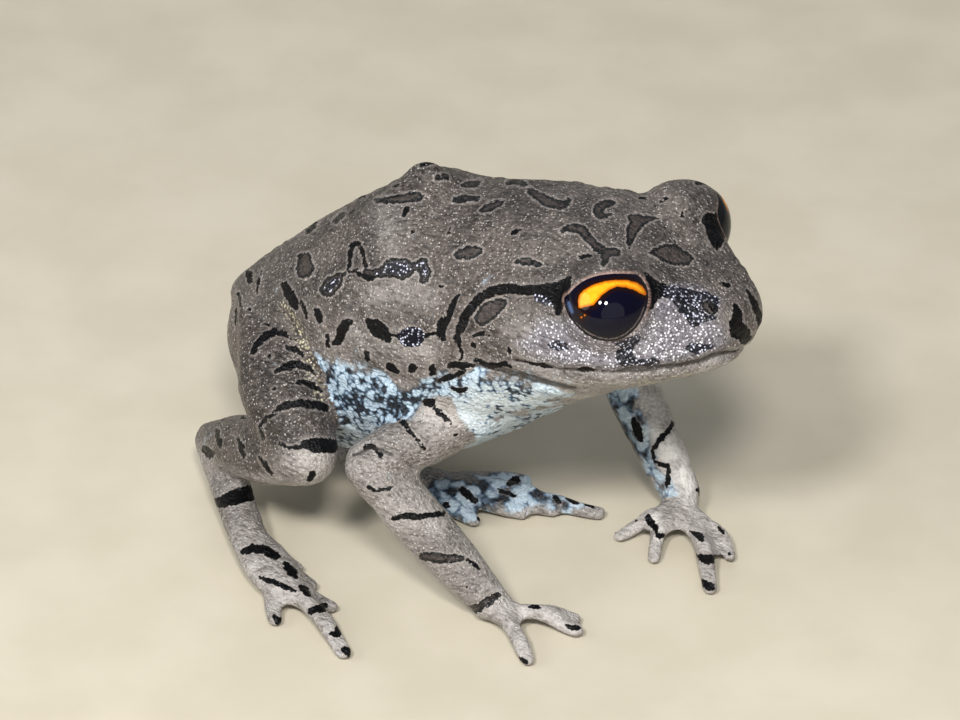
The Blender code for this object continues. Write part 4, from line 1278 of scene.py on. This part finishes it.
blue_coat = add("Mix", {0: blue_share, 6: "0a0e17", 7: "5f7890"}, 2, **RGBA)
pale_blue = add("Mix", {0: stored["chest"], 6: "b4c8d8", 7: "c9d3d8"}, 2, **RGBA)
blue_coat = add("Mix", {0: white_share, 6: blue_coat, 7: pale_blue}, 2, **RGBA)
ragged = add("MapRange", [marble, 0.3, 0.7, -0.35, 0.35])
ragged = add("Math", [mottle, 0.6, ragged], **TIMES_PLUS)
ragged = add("Math", [ragged, 0.3], operation="SUBTRACT")
blue_edge = add("Math", [stored["blue"], ragged], **PLUS)
blue_edge = add("MapRange", [blue_edge, 0.30, 0.70], **EASED)
# The dips between grains in the blue coat are pulled to a grey blue, painted shade on the pale blots.
blue_dip_shade = add("Math", [dip_shade, 0.22], **TIMES)
blue_coat = add("Mix", {0: blue_dip_shade, 6: blue_coat, 7: "4c5866"}, 2, **RGBA)
coat = add("Mix", {0: blue_edge, 6: coat, 7: blue_coat}, 2, **RGBA)
# The left forearm's band turns near white: partly pale skin, partly painted light where the head shades it.
lumps = add("MapRange", [mottle, 0.3, 0.6, 0.35], **EASED)
lit_pale_share = add("Math", [stored["lit_pale_band"], lumps], **TIMES)
coat = add("Mix", {0: lit_pale_share, 6: coat, 7: "e6e3de"}, 2, **RGBA)
print("flank and forearm:", len(tree.nodes), "nodes")

# %% Painted glints on the cheek, and yellow flecks
# Painted glints: white points on the cheek and snout, and in the frost of the marks, where light catches wet
# grains.
smear = add("Math", [wrinkles, 0.45, glitter], **TIMES_PLUS)
white_points_and_glints = add("MapRange", [smear, 0.74, 0.40], **EASED)
chosen = add("Math", [mottle, 1.6, glitter_lots], **TIMES_PLUS)
chosen = add("MapRange", [chosen, 1.05, 1.45], **EASED)
frost_and_glint_share = add("Math", [white_points_and_glints, chosen], **TIMES)
# The cheek's ground is darker in the wrinkle furrows and lighter on the ridges: painted shade and highlight.
cheek_base = add("Mix", {0: wrinkle_light_share, 6: "4f4b56", 7: "7d7983"}, 2, **RGBA)
cheek_ground = add("Math", [stored["sparkled"], 0.72], **TIMES)
coat = add("Mix", {0: cheek_ground, 6: coat, 7: cheek_base}, 2, **RGBA)
cheek_glint_share = add("Math", [frost_and_glint_share, stored["sparkled"]], **TIMES)
coat = add("Mix", {0: cheek_glint_share, 6: coat, 7: "f4f3fa"}, 2, **RGBA)
fleck_tops = add("MapRange", [grains, 0.48, 0.22], **EASED)
fleck_share = add("Math", [stored["yellow"], fleck_tops], **TIMES)
coat = add("Mix", {0: fleck_share, 6: coat, 7: "d0c9a6"}, 2, **RGBA)
print("cheek and groin:", len(tree.nodes), "nodes")

# %% [markdown]
# The marks come last. Their stored depth gets a little noise, so their edges are ragged as in the real
# coat, and is then cut at a level: at zero for the mark's edge, further in for the filling inside its black
# outline, and just outside for the pale line that runs round it.

# %% Marks, their outlines and their frost
OUTLINE = 0.20
EDGE = 0.025
HALO = 0.13
jag = add("Math", [grains, 0.14, -0.06], **TIMES_PLUS)
wobble = add("MapRange", [wander, 0.25, 0.75, -0.10, 0.09])
wobble = add("Math", [wobble, jag], **PLUS)
ink = "030305"
filling = add("Mix", {0: speck_and_glint_share, 6: "433b38", 7: "857b76"}, 2, **RGBA)
# Inside the marks' filling the wrinkle furrows get painted shade.
filling = add("Mix", {0: wrinkle_light_share, 6: "2b2523", 7: filling}, 2, **RGBA)
# The frost's white points are partly pale grains of the skin and partly painted glints of light on them.
frost = add("Mix", {0: frost_and_glint_share, 6: "080815", 7: "dfe2f6"}, 2, **RGBA)
halo = "a79e99"
covered = {}
for name, level, paint, share in (
    ("ringed", -HALO, halo, 0.34), ("black", -HALO, halo, 0.22), ("ringed", 0.0, ink, 1.0),
    ("ringed", OUTLINE, filling, 1.0), ("black", 0.0, ink, 1.0), ("frosted", 0.0, frost, 1.0),
):
    depth = add("Math", [stored[name], wobble], **PLUS)
    levels = [depth, level - EDGE, level + EDGE, 0.0, share]
    covered[name, level] = add("MapRange", levels, **EASED)
    coat = add("Mix", {0: covered[name, level], 6: coat, 7: paint}, 2, **RGBA)
# The creases' dark line is painted shade.
crease_shade_share = add("MapRange", [stored["crease_shade"], -0.06, 0.05, 0.0, 0.80], **EASED)
coat = add("Mix", {0: crease_shade_share, 6: coat, 7: "1f1917"}, 2, **RGBA)
rim_share = add("Math", [stored["rim"], 0.8], **TIMES)
coat = add("Mix", {0: rim_share, 6: coat, 7: "a98b80"}, 2, **RGBA)
plug(surface, {"Base Color": coat})
print("marks laid:", len(tree.nodes), "nodes")

# %% [markdown]
# The grains also stand up from the skin, and a film of water lies over them. The film is the coat of the
# shader, smooth and thin; below it the skin is duller, and unevenly so.

# %% Relief and gloss of the skin
RELIEF = 0.095
PEBBLE = 0.38
domes = add("MapRange", [grains, 0.62, 0.0], **EASED)
domes = add("Math", [domes, 0.35, speck_and_glint_share], **TIMES_PLUS)
pebbles = add("TexNoise", {"Vector": place, "Scale": per_mm(PEBBLE), "Detail": 2.0}, "Fac")
domes = add("Math", [pebbles, 2.2, domes], **TIMES_PLUS)
relief = add("Math", [wrinkles, 1.1, domes], **TIMES_PLUS)
bump = add("Bump", {"Height": relief, "Distance": RELIEF * MM, "Strength": 1.0})
dull = add("MapRange", [mottle, 0.3, 0.7, 0.34, 0.58])
marked = covered["black", 0.0]
shine = add("MapRange", [marked, 0.0, 1.0, 0.38, 0.16])
film = add("MapRange", [marked, 0.0, 1.0, 0.30, 0.12])
plug(surface, {
    "Normal": bump, "Coat Normal": bump, "Roughness": dull, "IOR": 1.40,
    "Specular IOR Level": shine, "Coat Weight": film, "Coat Roughness": 0.15,
})
skin.data.materials.clear()
skin.data.materials.append(skin_material)
print("skin material nodes:", len(tree.nodes))

# %% [markdown]
# ## Eyes
# Each eye is a wet ball deep in the head, almost all of it pupil and night-dark iris. Only the upper part
# of the iris is bright: a golden crescent under the upper lid. A round ball is added at the solid's place,
# its front swells a little to the cornea, and the iris is one more outline read off the photo. The far eye
# is seen edge on, and its side towards the camera gets painted shade: the crescent is left off there but
# for a thin golden arc at the rim, and the ball is shifted to its lower, grey-black colour.

# %% Shape the eyeballs
CORNEA_REACH = 0.28
CORNEA_WIDTH = 1.8
IRIS = {
    "crescent": [
        (580, 307.5), (579.3, 301), (580.5, 295), (584, 291), (592, 286), (604, 282), (616, 280.3),
        (628, 280.5), (637, 283), (643, 287), (645.7, 292), (645.5, 296), (640, 293.5), (633, 290),
        (626, 288), (617, 287), (610, 290), (603, 295), (598, 301), (594.5, 305), (588, 306.5), (583, 308),
    ],
    "fleck": [(583, 316.5, 1.0)],
    "second fleck": [(586.5, 314.5, 0.8)],
}
# The far ball's painted shade: its height is shifted so it takes the lower, grey-black colour almost all
# over.
SHADE_BY = {"right": 0.0, "left": 4.0}
EDGE_ON = {"right": 9.0, "left": 0.25}
CORNER = {"white of the eye": [(569.5, 303, 1.6), (571.5, 308, 2.0), (573.5, 312, 1.4)]}
INNER_LID = {
    "edge": [
        (577, 321.5, 0.2), (584, 327.5, 0.3), (591.5, 332.5, 0.3), (599.5, 336, 0.3), (608, 337.8, 0.3),
        (617, 336.8, 0.3), (625, 333.2, 0.3), (633, 326.5, 0.3), (639.5, 317.5, 0.3), (643.8, 307, 0.2),
    ],
}


def from_front_map(flat, centre):
    length = np.hypot(flat[:, 0], flat[:, 1]) + 1e-9
    turn_by = length / EYE_RADIUS
    way = (flat[:, :1] * LENGTHWAYS + flat[:, 1:] * UPWAYS) / length[:, None]
    return centre + EYE_RADIUS * (np.cos(turn_by)[:, None] * FACING + np.sin(turn_by)[:, None] * way)


def eyeball(side):
    centre = EYES[side]
    front = FACING * MIRROR[side]
    ball = ball_at(centre, EYE_RADIUS, 96, 64, Vector(front).to_track_quat("Z", "Y").to_euler())
    ball.name = side + "_eyeball"
    places = places_of(ball)
    out = (places - centre) / EYE_RADIUS
    off_axis = np.linalg.norm(places - centre - np.outer((places - centre) @ front, front), axis=1)
    in_front = (out @ front) > 0
    swell = CORNEA_REACH * np.exp(-np.square(off_axis / CORNEA_WIDTH)) * in_front
    places = places + swell[:, None] * out
    put_places(ball, places)
    flat = on_front_map(places * MIRROR[side], EYES["right"]) - LOOK[side]
    shown = pixels_of(from_front_map(flat, EYES["right"]))
    # Painted shade on the far eye: the iris is cut where the ball faces the camera, save a thin arc at the
    # rim.
    shaded = EYE_RADIUS * (EDGE_ON[side] - out @ to_camera)
    for name, marks in {"iris": IRIS, "corner": CORNER, "inner_lid": INNER_LID}.items():
        depth = np.minimum(depth_in(marks, shown), shaded)
        store(ball, name, np.where(in_front, depth, OUTSIDE))
    store(ball, "height", (places - centre)[:, 2] - SHADE_BY[side])
    bpy.ops.object.shade_smooth()
    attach(ball, "root")
    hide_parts(side + "_eye")
    return ball


eyeballs = [eyeball(side) for side in ("right", "left")]
print("eyeballs:", [(ball.name, len(ball.data.vertices)) for ball in eyeballs])

# %% [markdown]
# ### Wet eye
# Under the cornea the pupil is black with a touch of blue, and the iris has fine threads that run outwards.
# The surface is as smooth as water, so it mirrors the lamps.

# %% Paint the eye
THREAD = 0.3
CORNEA_IOR = 1.376
eye_material, tree, surface = new_material("wet cornea over a dark iris")
place = add("TexCoord", out="Object")
threads = add("TexNoise", {"Vector": place, "Scale": per_mm(THREAD), "Detail": 4.0}, "Fac")
stored = {
    name: add("Attribute", out="Fac", attribute_name=name)
    for name in ("iris", "corner", "inner_lid", "height")
}
upper = add("MapRange", [stored["height"], -1.6, 0.9], **EASED)
paint = add("Mix", {0: upper, 6: "101214", 7: "060518"}, 2, **RGBA)
uneven_edge = add("Math", [threads, 0.10, -0.05], **TIMES_PLUS)
iris = add("Math", [stored["iris"], uneven_edge], **PLUS)
golden = add("MapRange", [iris, 0.02, 0.24], **EASED)
gold = add("Mix", {0: threads, 6: "de8f08", 7: "f5bb2a"}, 2, **RGBA)
gold = add("Mix", {0: golden, 6: "c46406", 7: gold}, 2, **RGBA)
for depth, low, high, tint in (
    (iris, -0.45, 0.0, "1c0a04"), (iris, -0.03, 0.03, gold),
    (stored["corner"], -0.08, 0.08, "43557a"), (stored["inner_lid"], -0.05, 0.03, "7d716c"),
):
    share = add("MapRange", [depth, low, high], **EASED)
    paint = add("Mix", {0: share, 6: paint, 7: tint}, 2, **RGBA)
plug(surface, {
    "Base Color": paint, "Roughness": 0.25, "IOR": CORNEA_IOR, "Specular IOR Level": 0.0,
    "Coat Weight": 0.7, "Coat IOR": CORNEA_IOR, "Coat Roughness": 0.02,
})
for ball in eyeballs:
    ball.data.materials.append(eye_material)
print("eye material nodes:", len(tree.nodes))

# %% [markdown]
# ## The floor's finish
# The floor stays plain: a pale matt board with a faint mottle, so that it doesn't look like empty space.

# %% Paint the floor
BOARD_MOTTLE = 9.0
floor_material, tree, surface = new_material("pale matt board")
place = add("TexCoord", out="Object")
mottle = add("TexNoise", {"Vector": place, "Scale": per_mm(BOARD_MOTTLE), "Detail": 5.0}, "Fac")
share = add("MapRange", [mottle, 0.3, 0.7], **EASED)
board = add("Mix", {0: share, 6: "c3bba8", 7: "cbc3b1"}, 2, **RGBA)
plug(surface, {"Base Color": board, "Roughness": 0.8})
floor.data.materials.append(floor_material)
print("floor painted")
